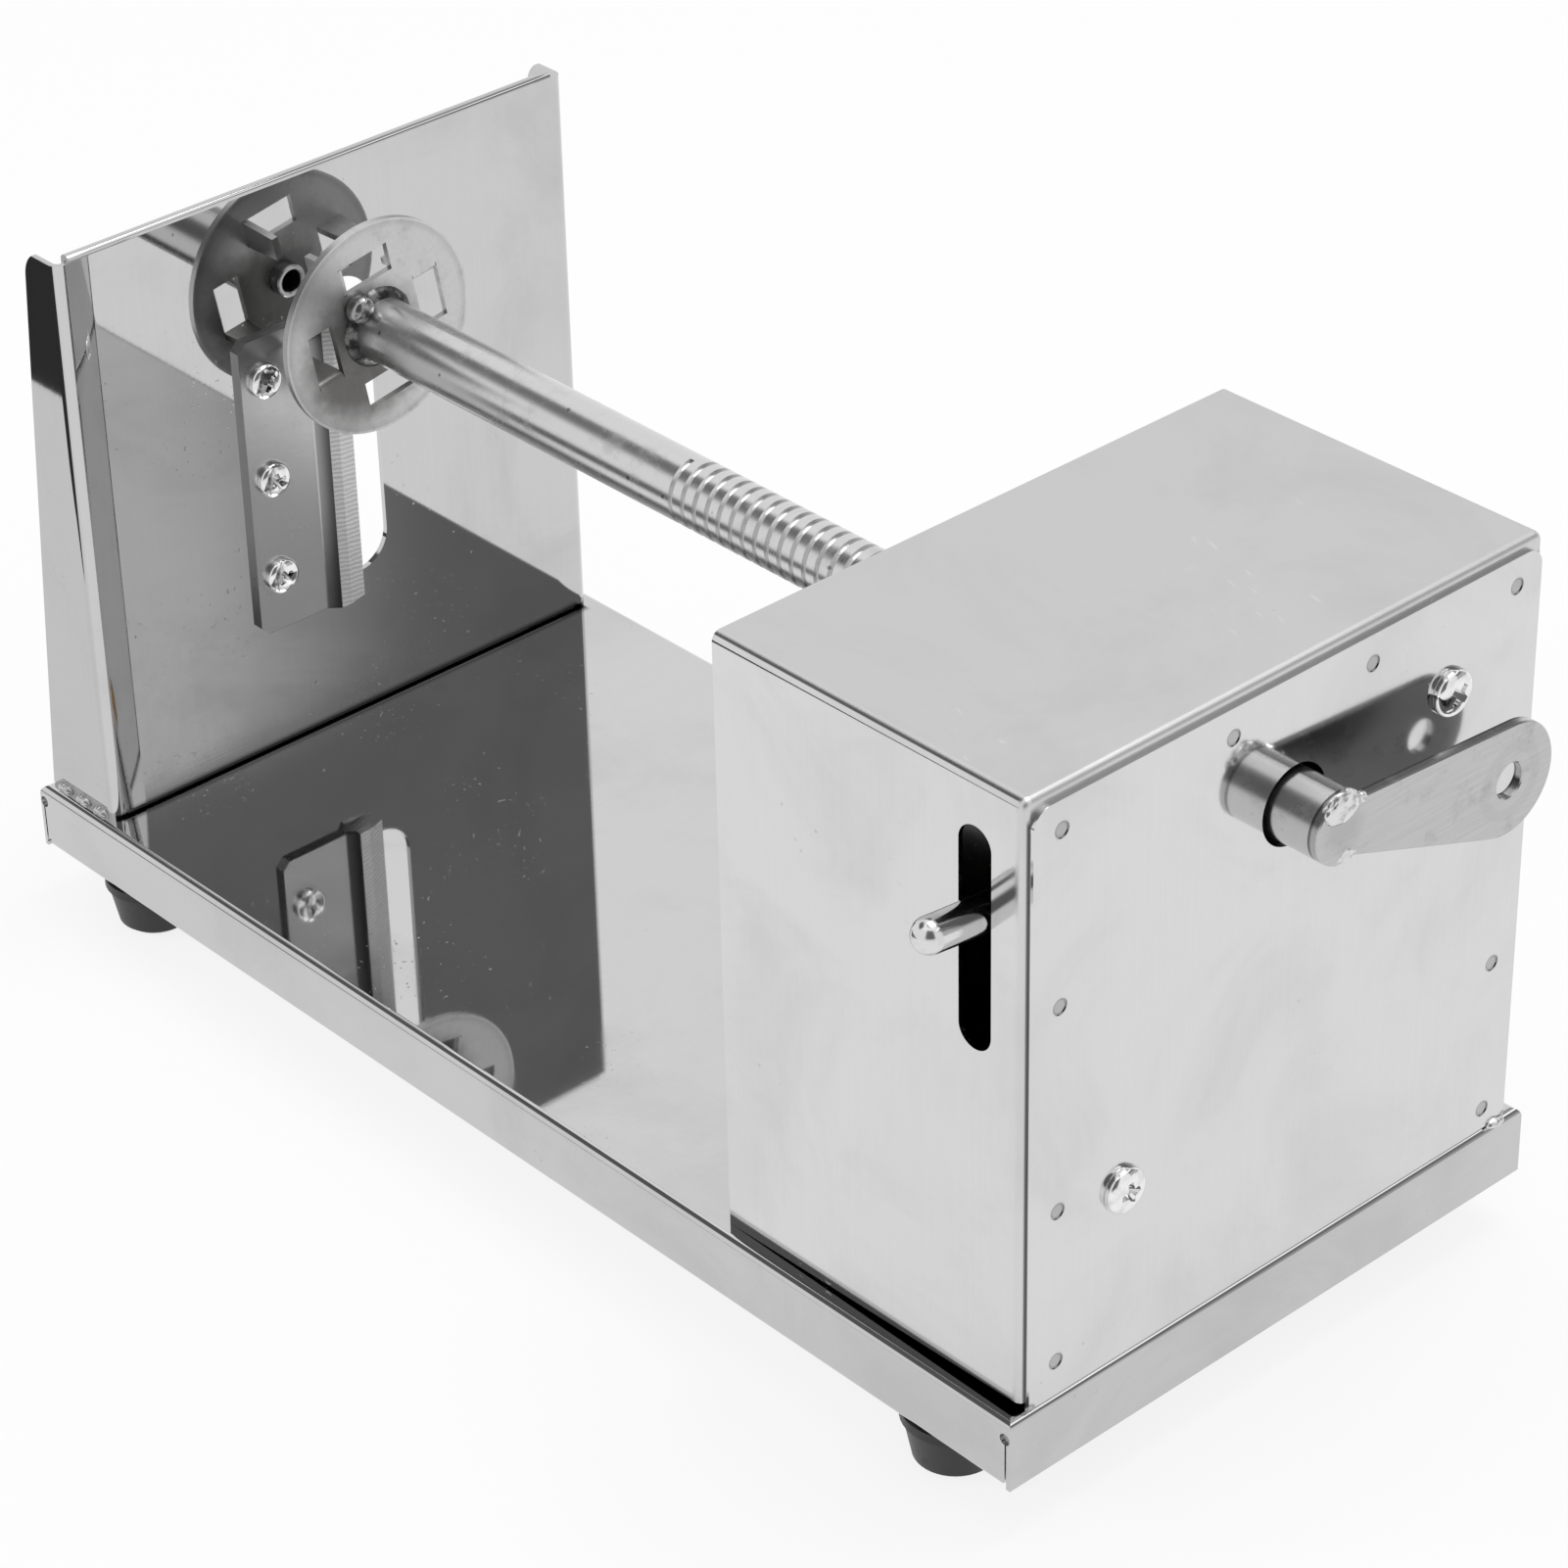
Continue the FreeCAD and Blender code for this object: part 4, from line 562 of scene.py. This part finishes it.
def threaded_shank(made, start, length, radius, pitch, sides=28):
    """A screw thread along -X from start: a grid whose radius follows the helix, closed at its tip."""
    steps = int(length / pitch * ROWS_PER_TURN)
    depth = THREAD_DEPTH * pitch
    rings = []
    for row in range(steps + 1):
        along = length * row / steps
        runout = min(1.0, along / (1.5 * pitch), (length - along) / (0.8 * pitch) + 0.25)
        ring = []
        for k in range(sides):
            turn = 2 * math.pi * k / sides
            ridge = abs(((along / pitch - k / sides) % 1.0) * 2 - 1)
            r = radius - 2 * depth * runout * (1 - min(1.0, 1.25 * ridge)) * 0.5 - depth * 0.15
            ring.append(made.verts.new((start - along, r * math.cos(turn), r * math.sin(turn))))
        rings.append(ring)
    skin(made, rings, capped=False)
    for ring, along in ((rings[0], start), (rings[-1], start - length)):
        hub = made.verts.new((along, 0, 0))
        for k in range(sides):
            made.faces.new((hub, ring[k], ring[(k + 1) % sides]))


HEAD_SIDE, HEAD_FLAT, DOME_STEPS = 0.22, 0.22, 8


def screw_mesh(name, head_radius, head_height, shank_radius, length, pitch):
    """One pan-head screw along X: the head stands up from x = 0 and the shank runs to -X."""
    dome = [(0, 0), (0, head_radius * 0.96), (0.06 * head_height, head_radius),
            (HEAD_SIDE * head_height, head_radius)]
    for k in range(1, DOME_STEPS):
        turn = math.pi / 2 * k / DOME_STEPS
        dome.append((head_height * (HEAD_SIDE + (1 - HEAD_SIDE) * math.sin(turn)),
                     head_radius * (1 - 0.999 * (1 - math.cos(turn)) ** 1.35)))
    dome += [(head_height, HEAD_FLAT * head_radius), (head_height, 0)]
    head = carved(turned_mesh(name, dome),
                  cross_cutter(0.52 * head_radius, 0.13 * head_radius, 0.85 * head_height, head_height))
    made = bmesh.new()
    made.from_mesh(head)
    threaded_shank(made, 0.0, length, shank_radius, pitch)
    return finished(made, name)


def solids_of(node_name, count):
    """The points of each of a CAD node's separate solids, with their box, in order of place."""
    made = bmesh.new()
    made.from_mesh(nodes[node_name].data)
    bmesh.ops.remove_doubles(made, verts=made.verts, dist=1e-6)
    islands, seen = [], set()
    for seed in made.verts:
        if seed in seen:
            continue
        island, waiting = [], [seed]
        seen.add(seed)
        while waiting:
            vert = waiting.pop()
            island.append(vert.co.copy())
            for edge in vert.link_edges:
                other = edge.other_vert(vert)
                if other not in seen:
                    seen.add(other)
                    waiting.append(other)
        islands.append(island)
    made.free()
    if len(islands) != count:
        raise ValueError(f"{node_name} holds {len(islands)} solids, not {count}")
    found = [(Vector((min(p[k] for p in island) for k in range(3))),
              Vector((max(p[k] for p in island) for k in range(3))), island) for island in islands]
    return sorted(found, key=lambda solid: (round(solid[0].x, 5), round((solid[0].y + solid[1].y) / 2, 5),
                                            round((solid[0].z + solid[1].z) / 2, 5)))


def centres_of(node_name, count):
    """The middle of the box of each of a CAD node's separate solids, and its lowest and highest x."""
    return [((low + high) / 2, low.x, high.x) for low, high, points in solids_of(node_name, count)]


def fasteners(name, node_name, mesh, placings):
    """One piece that holds the mesh once for each placing, in place of the CAD node."""
    made = bmesh.new()
    for placing in placings:
        copy = mesh.copy()
        copy.transform(placing)
        made.from_mesh(copy)
        bpy.data.meshes.remove(copy)
    whole = bpy.data.meshes.new(name)
    made.to_mesh(whole)
    made.free()
    piece = mesh_piece(name, whole, bright_plate)
    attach(piece, "base")
    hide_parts(node_name)


def set_of_screws(name, node_name, count, head_radius, head_height, shank_radius, pitch):
    """The screws of a CAD node, each with its recess at an angle of its own."""
    found = centres_of(node_name, count)
    length = found[0][2] - found[0][1] - head_height
    mesh = screw_mesh(name, head_radius, head_height, shank_radius, length, pitch)
    placings = []
    for middle, low, high in found:
        seat = Vector((high - head_height, middle.y, middle.z))
        placings.append(Matrix.Translation(seat) @ Matrix.Rotation(chance.uniform(0, math.pi / 2), 4, "X"))
    fasteners(name, node_name, mesh, placings)


# Head radius, head height, shank radius and pitch of a screw; width over flats, height and bore of a nut.
M4_SCREW, M4_NUT = (0.004, 0.0024, 0.002, 0.0007), (0.007, 0.0032, 0.0021)
M5_SCREW, M5_NUT = (0.00475, 0.0025, 0.0025, 0.0008), (0.008, 0.004, 0.0026)
set_of_screws("blade_clamp_screws", "blade_screws", 3, *M4_SCREW)
set_of_screws("long_end_screws", "end_screws", 2, *M5_SCREW)

CHAMFER_FROM, MOUTH, DRILL_SPARE = 0.47, 1.12, 0.001


def nut_mesh(name, flats, height, bore):
    """A hexagon nut along X from x = 0, with its corners turned off at both faces."""
    made = bmesh.new()
    corner = flats / math.sqrt(3)
    skin(made, [[made.verts.new((x, corner * math.cos(math.pi / 3 * k), corner * math.sin(math.pi / 3 * k)))
                 for k in range(6)] for x in (0, height)])
    prism = finished(made, name)
    face_radius = flats * CHAMFER_FROM
    fall = (corner - face_radius) * math.tan(math.radians(30))
    lens = turned_mesh("nut_turning", [(0, 0), (0, face_radius), (fall, corner), (height - fall, corner),
                                       (height, face_radius), (height, 0)], 72)
    drill = turned_mesh("nut_drill", [(-DRILL_SPARE, 0), (-DRILL_SPARE, bore * 1.2), (0, bore * MOUTH),
                                      (0.0004, bore), (height - 0.0004, bore), (height, bore * MOUTH),
                                      (height + DRILL_SPARE, bore * 1.2), (height + DRILL_SPARE, 0)], 36)
    return carved(carved(prism, lens, "INTERSECT"), drill)


def set_of_nuts(name, node_name, count, flats, height, bore):
    """The nuts of a CAD node."""
    placings = [Matrix.Translation(Vector((low, middle.y, middle.z))) for middle, low, high
                in centres_of(node_name, count)]
    fasteners(name, node_name, nut_mesh(name, flats, height, bore), placings)


set_of_nuts("blade_clamp_nuts", "blade_nuts", 3, *M4_NUT)
set_of_nuts("lever_screw_nuts", "end_nuts", 4, *M5_NUT)

# ---- housing shell ----
# Two sides and a top in one folded sheet. Its sides are polished, and its top is left with the satin
# face of the sheet.

shell_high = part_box("housing_shell")[1]
end_low, end_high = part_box("end_plate")
SATIN_ROUGHNESS, SIDE_ROUGHNESS, SATIN_DULLING = 0.34, 0.085, 0.14
FOLD_REACH, FOLD_ROUGHNESS = 0.0026, 0.36
# Painted shade: a dark line in the gap between the shell's fold and the end plate.
GAP_DEPTH, GAP_WIDTH, GAP_SHADE_DARKNESS = 0.0004, 0.0007, 0.8


def on_shell_top(tree, place, beside, on_top):
    """A value that changes from the sides to the top of the shell."""
    return ramp(tree, place["Z"], shell_high.z - 0.0006, shell_high.z - 0.00005, beside, on_top)


def shell_roughness(tree):
    """The sides are polished, and the top and the fold round the end plate are satin."""
    place = place_in(tree)
    fold = ramp(tree, place["X"], shell_high.x - FOLD_REACH, shell_high.x - 0.4 * FOLD_REACH,
                SIDE_ROUGHNESS, FOLD_ROUGHNESS)
    return sums(tree, "MAXIMUM", fold, on_shell_top(tree, place, SIDE_ROUGHNESS, SATIN_ROUGHNESS))


def shell_shade(tree):
    """The satin top is a little duller, and a painted shade line lies on the flange along the end plate's
    edge.
    """
    place = place_in(tree)
    flange = ramp(tree, place["X"], shell_high.x - GAP_DEPTH, shell_high.x - 0.5 * GAP_DEPTH)
    gap = ramp(tree, place["Y"], end_low.y - GAP_WIDTH, end_low.y - 0.4 * GAP_WIDTH, 0, GAP_SHADE_DARKNESS)
    below = ramp(tree, place["Z"], end_high.z - 0.003, end_high.z - 0.001, 1, 0)
    return sums(tree, "MAXIMUM", times(tree, gap, flange, below), on_shell_top(tree, place, 0, SATIN_DULLING))


wear("housing_shell", sheet_finish("shell_steel", ALONG_Z, roughness=shell_roughness, wave_height=0.00016,
                                   dark_mask=shell_shade))

# ---- end plate and front wall ----
# The end plate is spot-welded over the flange of the shell, and the front wall stands inside it. Each
# spot is a shallow grey print with a burnt rim.

SPOT_DEPTH, SPOT_RADIUS, SPOT_SOFT, RIM_INSIDE = 0.0002, 0.0017, 0.0004, 0.0003
SPOT_GREYNESS, RIM_GREYNESS = 0.34, 0.5
spots = []
for corner_point in nodes["end_plate"].data.vertices:
    on_floor = abs(corner_point.co.x - (end_high.x - SPOT_DEPTH)) < 1e-5
    if on_floor and all((corner_point.co - seen[0]).length > 3 * SPOT_RADIUS for seen in spots):
        spots.append([corner_point.co.copy(), []])
    if on_floor:
        nearest = min(spots, key=lambda seen: (seen[0] - corner_point.co).length)
        nearest[1].append(corner_point.co.copy())
spot_centres = [sum(points, Vector()) / len(points) for start, points in spots]


def away_from(tree, place, centre):
    """How far the place is from a centre."""
    return node(tree, "VectorMath", {0: place, 1: centre}, operation="DISTANCE").outputs["Value"]


def spot_prints(tree):
    """Grey inside each spot, darker round its rim."""
    where = point_in(tree)
    away = 1.0
    for centre in spot_centres:
        away = sums(tree, "MINIMUM", away_from(tree, where, tuple(centre)), away)
    inside = ramp(tree, away, SPOT_RADIUS - SPOT_SOFT, SPOT_RADIUS + SPOT_SOFT, SPOT_GREYNESS, 0)
    from_rim = off(tree, away, SPOT_RADIUS - RIM_INSIDE)
    return sums(tree, "MAXIMUM", inside, ramp(tree, from_rim, 0.0001, 0.0005, RIM_GREYNESS, 0))


wear("end_plate", sheet_finish("end_steel", ALONG_Z, roughness=0.065, steel=0.67, wave_height=0.0001,
                               dark_mask=spot_prints))
wear("front_wall", sheet_finish("wall_steel", ALONG_Z, roughness=0.1))

# ---- bush ----
# The shaft turns in a flanged bush, turned from bronze bar and set in the front wall. A sprung steel
# ring keeps it there.

bronze, tree, shader = new_finish("turned_bronze")
point = point_in(tree)
turning = grain(tree, stretched(tree, point, (9000.0, 40.0, 40.0)))
tarnish = grain(tree, point, 210.0, 5.0, 0.7)
tint = blended(tree, ramp(tree, tarnish, 0.35, 0.7), (0.62, 0.40, 0.17, 1), (0.33, 0.19, 0.08, 1))
feed(tree, shader, tint, ramp(tree, tarnish, 0.3, 0.8, 0.22, 0.5), turning, 0.00002, 0.6)
wear("front_bush", bronze)

# ---- threaded shaft ----
# A bar of bright steel, turned and then brushed with fine rings. It is darkened where the disc and
# the crank arm are welded on.

turned_marks, given, result = group_of(
    "turned_marks", {"Ring Stretch": (1.0, 1.0, 1.0), "Weld Place": (0.0, 0.0, 0.0), "Weld Reach": 0.006},
    ("Rings", "Stains", "Heat"))
marks = turned_marks
point = point_in(marks)
marks.links.new(grain(marks, stretched(marks, point, given["Ring Stretch"]), 1.0, 2.0, 0.6), result["Rings"])
marks.links.new(ramp(marks, grain(marks, point, 130.0, 5.0, 0.7), 0.5, 0.74), result["Stains"])
ragged = times(marks, grain(marks, point, 320.0, 3.0), 0.004)
edge = sums(marks, "ADD", away_from(marks, point, given["Weld Place"]), ragged)
near = times(marks, given["Weld Reach"], 0.55)
marks.links.new(ramp(marks, edge, near, given["Weld Reach"], 1, 0), result["Heat"])
BURNT_STEEL = (0.10, 0.095, 0.09, 1)
NO_WELD = 0.001


def turned_finish(name, stretch, weld_place, weld_reach, steel, roughness, ring_depth=0.000006, heated=0.55,
                  dark_mask=None):
    """Turned or brushed steel, darkened round a weld."""
    finish, tree, shader = new_finish(name)
    out = node(tree, "Group", {"Ring Stretch": stretch, "Weld Place": weld_place, "Weld Reach": weld_reach},
               node_tree=turned_marks).outputs
    shade = weighted(tree, (out["Rings"], 0.45), (out["Stains"], 0.4))
    colour = blended(tree, times(tree, out["Heat"], heated), grey(tree, shade, steel + 0.1, steel - 0.12),
                     BURNT_STEEL)
    if dark_mask is not None:
        colour = darkened(tree, colour, dark_mask)
    rough = weighted(tree, (out["Rings"], 0.1), (out["Stains"], 0.12), (out["Heat"], 0.15))
    height = weighted(tree, (out["Rings"], ring_depth), (out["Stains"], -0.000006))
    feed(tree, shader, colour, sums(tree, "ADD", rough, roughness), height)
    return finish


shaft_low, shaft_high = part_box("threaded_shaft")
axis_y, axis_z = (shaft_low.y + shaft_high.y) / 2, (shaft_low.z + shaft_high.z) / 2
disc_joint = (shaft_low.x, axis_y, axis_z)
crank_joint = (shaft_high.x, axis_y, axis_z)
RINGS_ROUND_X = (7000.0, 60.0, 60.0)


def shaft_shade(tree):
    """The sawn end under the crank arm, never polished, and a few small dark pits."""
    where = point_in(tree)
    sawn = ramp(tree, place_in(tree)["X"], shaft_high.x - 0.0002, shaft_high.x - 0.0001, 0, 0.9)
    rare = ramp(tree, grain(tree, where, 60.0), 0.5, 0.56)
    return sums(tree, "MAXIMUM", sawn, times(tree, pits(tree, where, 210.0, 0.06, 0.6), rare))


wear("threaded_shaft", turned_finish("shaft_steel", RINGS_ROUND_X, disc_joint, weld_reach=0.013, steel=0.62,
                                     roughness=0.19, dark_mask=shaft_shade))

# ---- pusher disc and skewer tube ----
# The disc is pressed from sheet and tumbled dull, its four tongues bent forward to grip the potato.
# The tube in its middle is drawn steel and holds the skewer.

halo_middle = (disc_joint[0], disc_joint[1] - 0.004, disc_joint[2] - 0.005)
disc_low, disc_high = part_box("pusher_disc")
disc_radius = (disc_high.y - disc_low.y) / 2
MARGIN, RIM = 0.0024, 0.0004


def disc_margin(tree):
    """The margin is darker than the middle, all but a thin rim at its edge."""
    out = away_from(tree, stretched(tree, point_in(tree), (0.0, 1.0, 1.0)), (0.0, axis_y, axis_z))
    duller = ramp(tree, out, disc_radius - MARGIN, disc_radius - 0.3 * MARGIN, 0.05, 0.19)
    return times(tree, duller, ramp(tree, out, disc_radius - RIM - 0.0002, disc_radius - RIM, 1, 0))


wear("pusher_disc", turned_finish("disc_steel", (60.0, 900.0, 900.0), halo_middle, weld_reach=0.0215,
                                  steel=0.56, roughness=0.28, ring_depth=0.000002, heated=0.78,
                                  dark_mask=disc_margin))
wear("skewer_tube", turned_finish("tube_steel", RINGS_ROUND_X, disc_joint, NO_WELD, steel=0.6, roughness=0.2))

# ---- crank arm ----
# A flat strip of sheet, linished along its length and welded across the end of the shaft. Its back has
# kept the scale of the weld, and the missing handle has rubbed a ring round the hole.

arm_low, arm_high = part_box("crank_arm")
hole = next(mount for mount in frame["record"]["mounts"] if mount["name"] == "handle_hole")
RUBBED_FROM, RUBBED_TO, RUBBED_SOFT = 0.0055, 0.0085, 0.0006


def arm_shade(tree):
    """The back is dark with scale, and the rubbed ring is a little duller than the strip."""
    back = ramp(tree, place_in(tree)["X"], arm_low.x + 0.0002, arm_low.x + 0.0006, 0.62, 0)
    gap = away_from(tree, point_in(tree), tuple(hole["pos_m"]))
    ring = times(tree, ramp(tree, gap, RUBBED_FROM, RUBBED_FROM + RUBBED_SOFT),
                 ramp(tree, gap, RUBBED_TO - RUBBED_SOFT, RUBBED_TO, 0.05, 0))
    return sums(tree, "MAXIMUM", back, ring)


wear("crank_arm", turned_finish("arm_steel", (900.0, 60.0, 1400.0), crank_joint, weld_reach=0.009, steel=0.46,
                                roughness=0.16, ring_depth=0.000002, heated=0.12, dark_mask=arm_shade))

# ---- release lever, half nut, pivot sleeve and ring ----
# The lever is bent from bright rod, the half nut is half of a tapped hexagon, and both turn with the
# sleeve on the long upper screw. The ring is the sprung one that keeps the bush.

wear("release_lever", turned_finish("lever_rod", (60.0, 2500.0, 2500.0), crank_joint, NO_WELD, steel=0.66,
                                    roughness=0.1, ring_depth=0.000002))
for inner in ("half_nut", "pivot_sleeve"):
    wear(inner, turned_finish(inner + "_steel", (6000.0, 60.0, 60.0), crank_joint, NO_WELD, steel=0.55,
                              roughness=0.25))
wear("bush_retainer", turned_finish("ring_steel", (60.0, 900.0, 900.0), crank_joint, NO_WELD, steel=0.5,
                                    roughness=0.3))

# ---- return spring ----
# A coil of drawn steel wire that pulls the lever down. One end hooks on the rod and the other on the
# lower long screw.

wear("return_spring", turned_finish("spring_wire", (3000.0, 3000.0, 200.0), crank_joint, NO_WELD, steel=0.5,
                                    roughness=0.22))

# ---- welds ----
# Short hand-laid runs: rippled where the rod was moved along, melted into a lump where it was held
# still. The bead is bright where it froze clean and burnt where the air reached it.


weld_marks, given, result = group_of("weld_marks", {"Burnt From": 0.5, "Burnt To": 0.7}, ("Scale", "Burn"))
scale = grain(weld_marks, point_in(weld_marks), 430.0, 4.0, 0.6)
weld_marks.links.new(scale, result["Scale"])
weld_marks.links.new(ramp(weld_marks, scale, given["Burnt From"], given["Burnt To"]), result["Burn"])


def bead_finish(name, clean_grey, burnt_grey, burnt_from, roughness, relief):
    """Weld metal between a clean and a burnt grey, its surface broken by its relief."""
    finish, tree, shader = new_finish(name)
    out = node(tree, "Group", {"Burnt From": burnt_from, "Burnt To": burnt_from + 0.2},
               node_tree=weld_marks).outputs
    rough = ramp(tree, out["Scale"], 0.35, 0.75, roughness, roughness + 0.3)
    feed(tree, shader, grey(tree, out["Burn"], clean_grey, burnt_grey), rough, out["Scale"], 0.00025, relief)
    return finish


def add_lump(made, centre, spread, turn, seed, lumpy=1.0):
    """A melted lump: a ball stretched by spread along the shaft, round it and out from it."""
    lump = bmesh.ops.create_icosphere(made, subdivisions=4, radius=1.0)
    for vert in lump["verts"]:
        way = vert.co.normalized()
        swell = 1 + lumpy * (0.22 * noise.noise(way * 1.6 + seed) + 0.09 * noise.noise(way * 4.5 + seed))
        shaped = Vector((way.x * spread[0], way.y * spread[1], way.z * spread[2])) * swell
        vert.co = centre + Matrix.Rotation(turn, 3, "X") @ shaped


def add_ring_bead(made, along, forward, radius, leg, first, sweep, pitch, depth):
    """A rippled fillet round the shaft's axis from x = along, over a sweep of angles."""
    steps = max(12, round(abs(sweep) * radius / (pitch / 5)))
    closed = abs(sweep) > 2 * math.pi - 0.01
    rings = []
    for k in range(steps if closed else steps + 1):
        turn = first + sweep * k / steps
        ripple = (1 + depth * math.cos(2 * math.pi * turn * radius / pitch)
                  + 2 * depth * noise.noise((math.cos(turn) * 1.6, math.sin(turn) * 1.6, radius * 90)))
        out = Vector((0, math.cos(turn), math.sin(turn)))
        ring = []
        for across, up in ((-0.2, -0.2), (-0.2, 1), (0.25, 0.78), (0.5, 0.52), (0.78, 0.25), (1, -0.2)):
            foot = Vector((along + forward * leg * across * ripple, axis_y, axis_z))
            ring.append(made.verts.new(foot + out * (radius + leg * (up * ripple if up > 0 else up))))
        rings.append(ring)
    skin(made, rings, closed)


def add_straight_beads(made, node_name, count, pitch):
    """A rippled fillet with tapered ends in place of each of a CAD node's plain ones."""
    for low, high, points in solids_of(node_name, count):
        run = max(range(3), key=lambda k: high[k] - low[k])
        first, second = (k for k in range(3) if k != run)
        for one, other in ((low, low), (low, high), (high, low), (high, high)):
            if not any(abs(p[first] - one[first]) + abs(p[second] - other[second]) < 1e-6 for p in points):
                root = [low[first] + high[first] - one[first], low[second] + high[second] - other[second]]
                outward = [1 if one is high else -1, 1 if other is high else -1]
        leg, length = high[first] - low[first], high[run] - low[run]
        rings = []
        steps = round(length / (pitch / 6))
        for k in range(steps + 1):
            along = length * k / steps
            taper = math.sqrt(max(0.02, min(1.0, along / leg, (length - along) / leg)))
            ripple = taper * (1 + 0.07 * math.cos(2 * math.pi * along / pitch)
                              + 0.22 * noise.noise((along * 500, root[0] * 70, 0.2)))
            ring = []
            for turn in (None, 0, 18, 36, 54, 72, 90):
                spot = Vector()
                spot[run] = low[run] + along
                u, v = (-0.15, -0.15) if turn is None else (math.cos(math.radians(turn)) * ripple,
                                                           math.sin(math.radians(turn)) * ripple)
                spot[first] = root[0] + outward[0] * leg * u
                spot[second] = root[1] + outward[1] * leg * v
                ring.append(made.verts.new(spot))
            rings.append(ring)
        skin(made, rings)


def bead_piece(name, made, finish, body, node_name):
    """The finished bead mesh as a piece on its body, in place of the CAD node."""
    piece = mesh_piece(name, finished(made, name), finish, math.radians(60))
    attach(piece, body)
    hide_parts(node_name)
    return piece


def round_shaft(degrees, radius, along):
    """The point at this angle round the shaft, from +Y towards +Z."""
    turn = math.radians(degrees)
    return Vector((along, axis_y + radius * math.cos(turn), axis_z + radius * math.sin(turn)))


bush_low, bush_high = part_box("front_bush")
BUSH_FLANGE = 0.005
shaft_radius = (bush_high.z - bush_low.z) / 2 - BUSH_FLANGE
clean_bead = bead_finish("clean_bead", 0.72, 0.34, burnt_from=0.5, roughness=0.12, relief=0.08)
grey_bead = bead_finish("grey_bead", 0.6, 0.42, burnt_from=0.45, roughness=0.24, relief=0.1)
burnt_bead = bead_finish("burnt_bead", 0.14, 0.03, burnt_from=0.4, roughness=0.22, relief=0.06)
glassy_bead = bead_finish("glassy_bead", 0.34, 0.08, burnt_from=0.46, roughness=0.1, relief=0.015)

DISC_LEG, DISC_PITCH, LUMP_TURN = 0.0021, 0.0037, 130
made = bmesh.new()
add_ring_bead(made, shaft_low.x, 1, shaft_radius, DISC_LEG, 0, 2 * math.pi, DISC_PITCH, 0.02)
ring_faces = len(made.faces)
add_lump(made, round_shaft(LUMP_TURN, shaft_radius + 0.0017, shaft_low.x + 0.0016),
         (0.0027, 0.0034, 0.0028), math.radians(LUMP_TURN - 90), Vector((3.1, 0.7, 5.2)), 0.15)
made.faces.ensure_lookup_table()
for face in made.faces[ring_faces:]:
    face.material_index = 1
disc_bead = bead_piece("disc_bead", made, burnt_bead, "crank", "disc_weld")
disc_bead.data.materials.append(glassy_bead)

TOP_LUMP_TURN, SIDE_LUMP_TURN, LOW_LUMP_TURN = 98, 40, -80
ARM_LEG, ARM_PITCH, ARM_FIRST, ARM_SWEEP = 0.0016, 0.0023, math.radians(-54), math.radians(84)
made = bmesh.new()
add_lump(made, round_shaft(TOP_LUMP_TURN, 0.0048, arm_high.x - 0.0004), (0.0017, 0.0046, 0.0032),
         math.radians(TOP_LUMP_TURN - 90), Vector((0.4, 2.2, 1.3)), 0.8)
add_lump(made, round_shaft(SIDE_LUMP_TURN, 0.0066, arm_high.x - 0.0008), (0.0011, 0.0013, 0.0012),
         0.0, Vector((5.4, 0.2, 1.9)))
add_lump(made, round_shaft(LOW_LUMP_TURN, 0.0060, arm_high.x - 0.0009), (0.0013, 0.0030, 0.0015),
         math.radians(LOW_LUMP_TURN - 90), Vector((1.4, 4.2, 0.3)))
add_ring_bead(made, shaft_high.x, -1, shaft_radius, ARM_LEG, ARM_FIRST, ARM_SWEEP, ARM_PITCH, 0.1)
bead_piece("crank_beads", made, clean_bead, "crank", "crank_welds")

for name, node_name, count, pitch, finish in (("plate_beads", "plate_welds", 6, 0.0018, grey_bead),
                                              ("housing_beads", "housing_welds", 3, 0.0024, clean_bead)):
    made = bmesh.new()
    add_straight_beads(made, node_name, count, pitch)
    bead_piece(name, made, finish, "base", node_name)
wear("lever_welds", clean_bead)
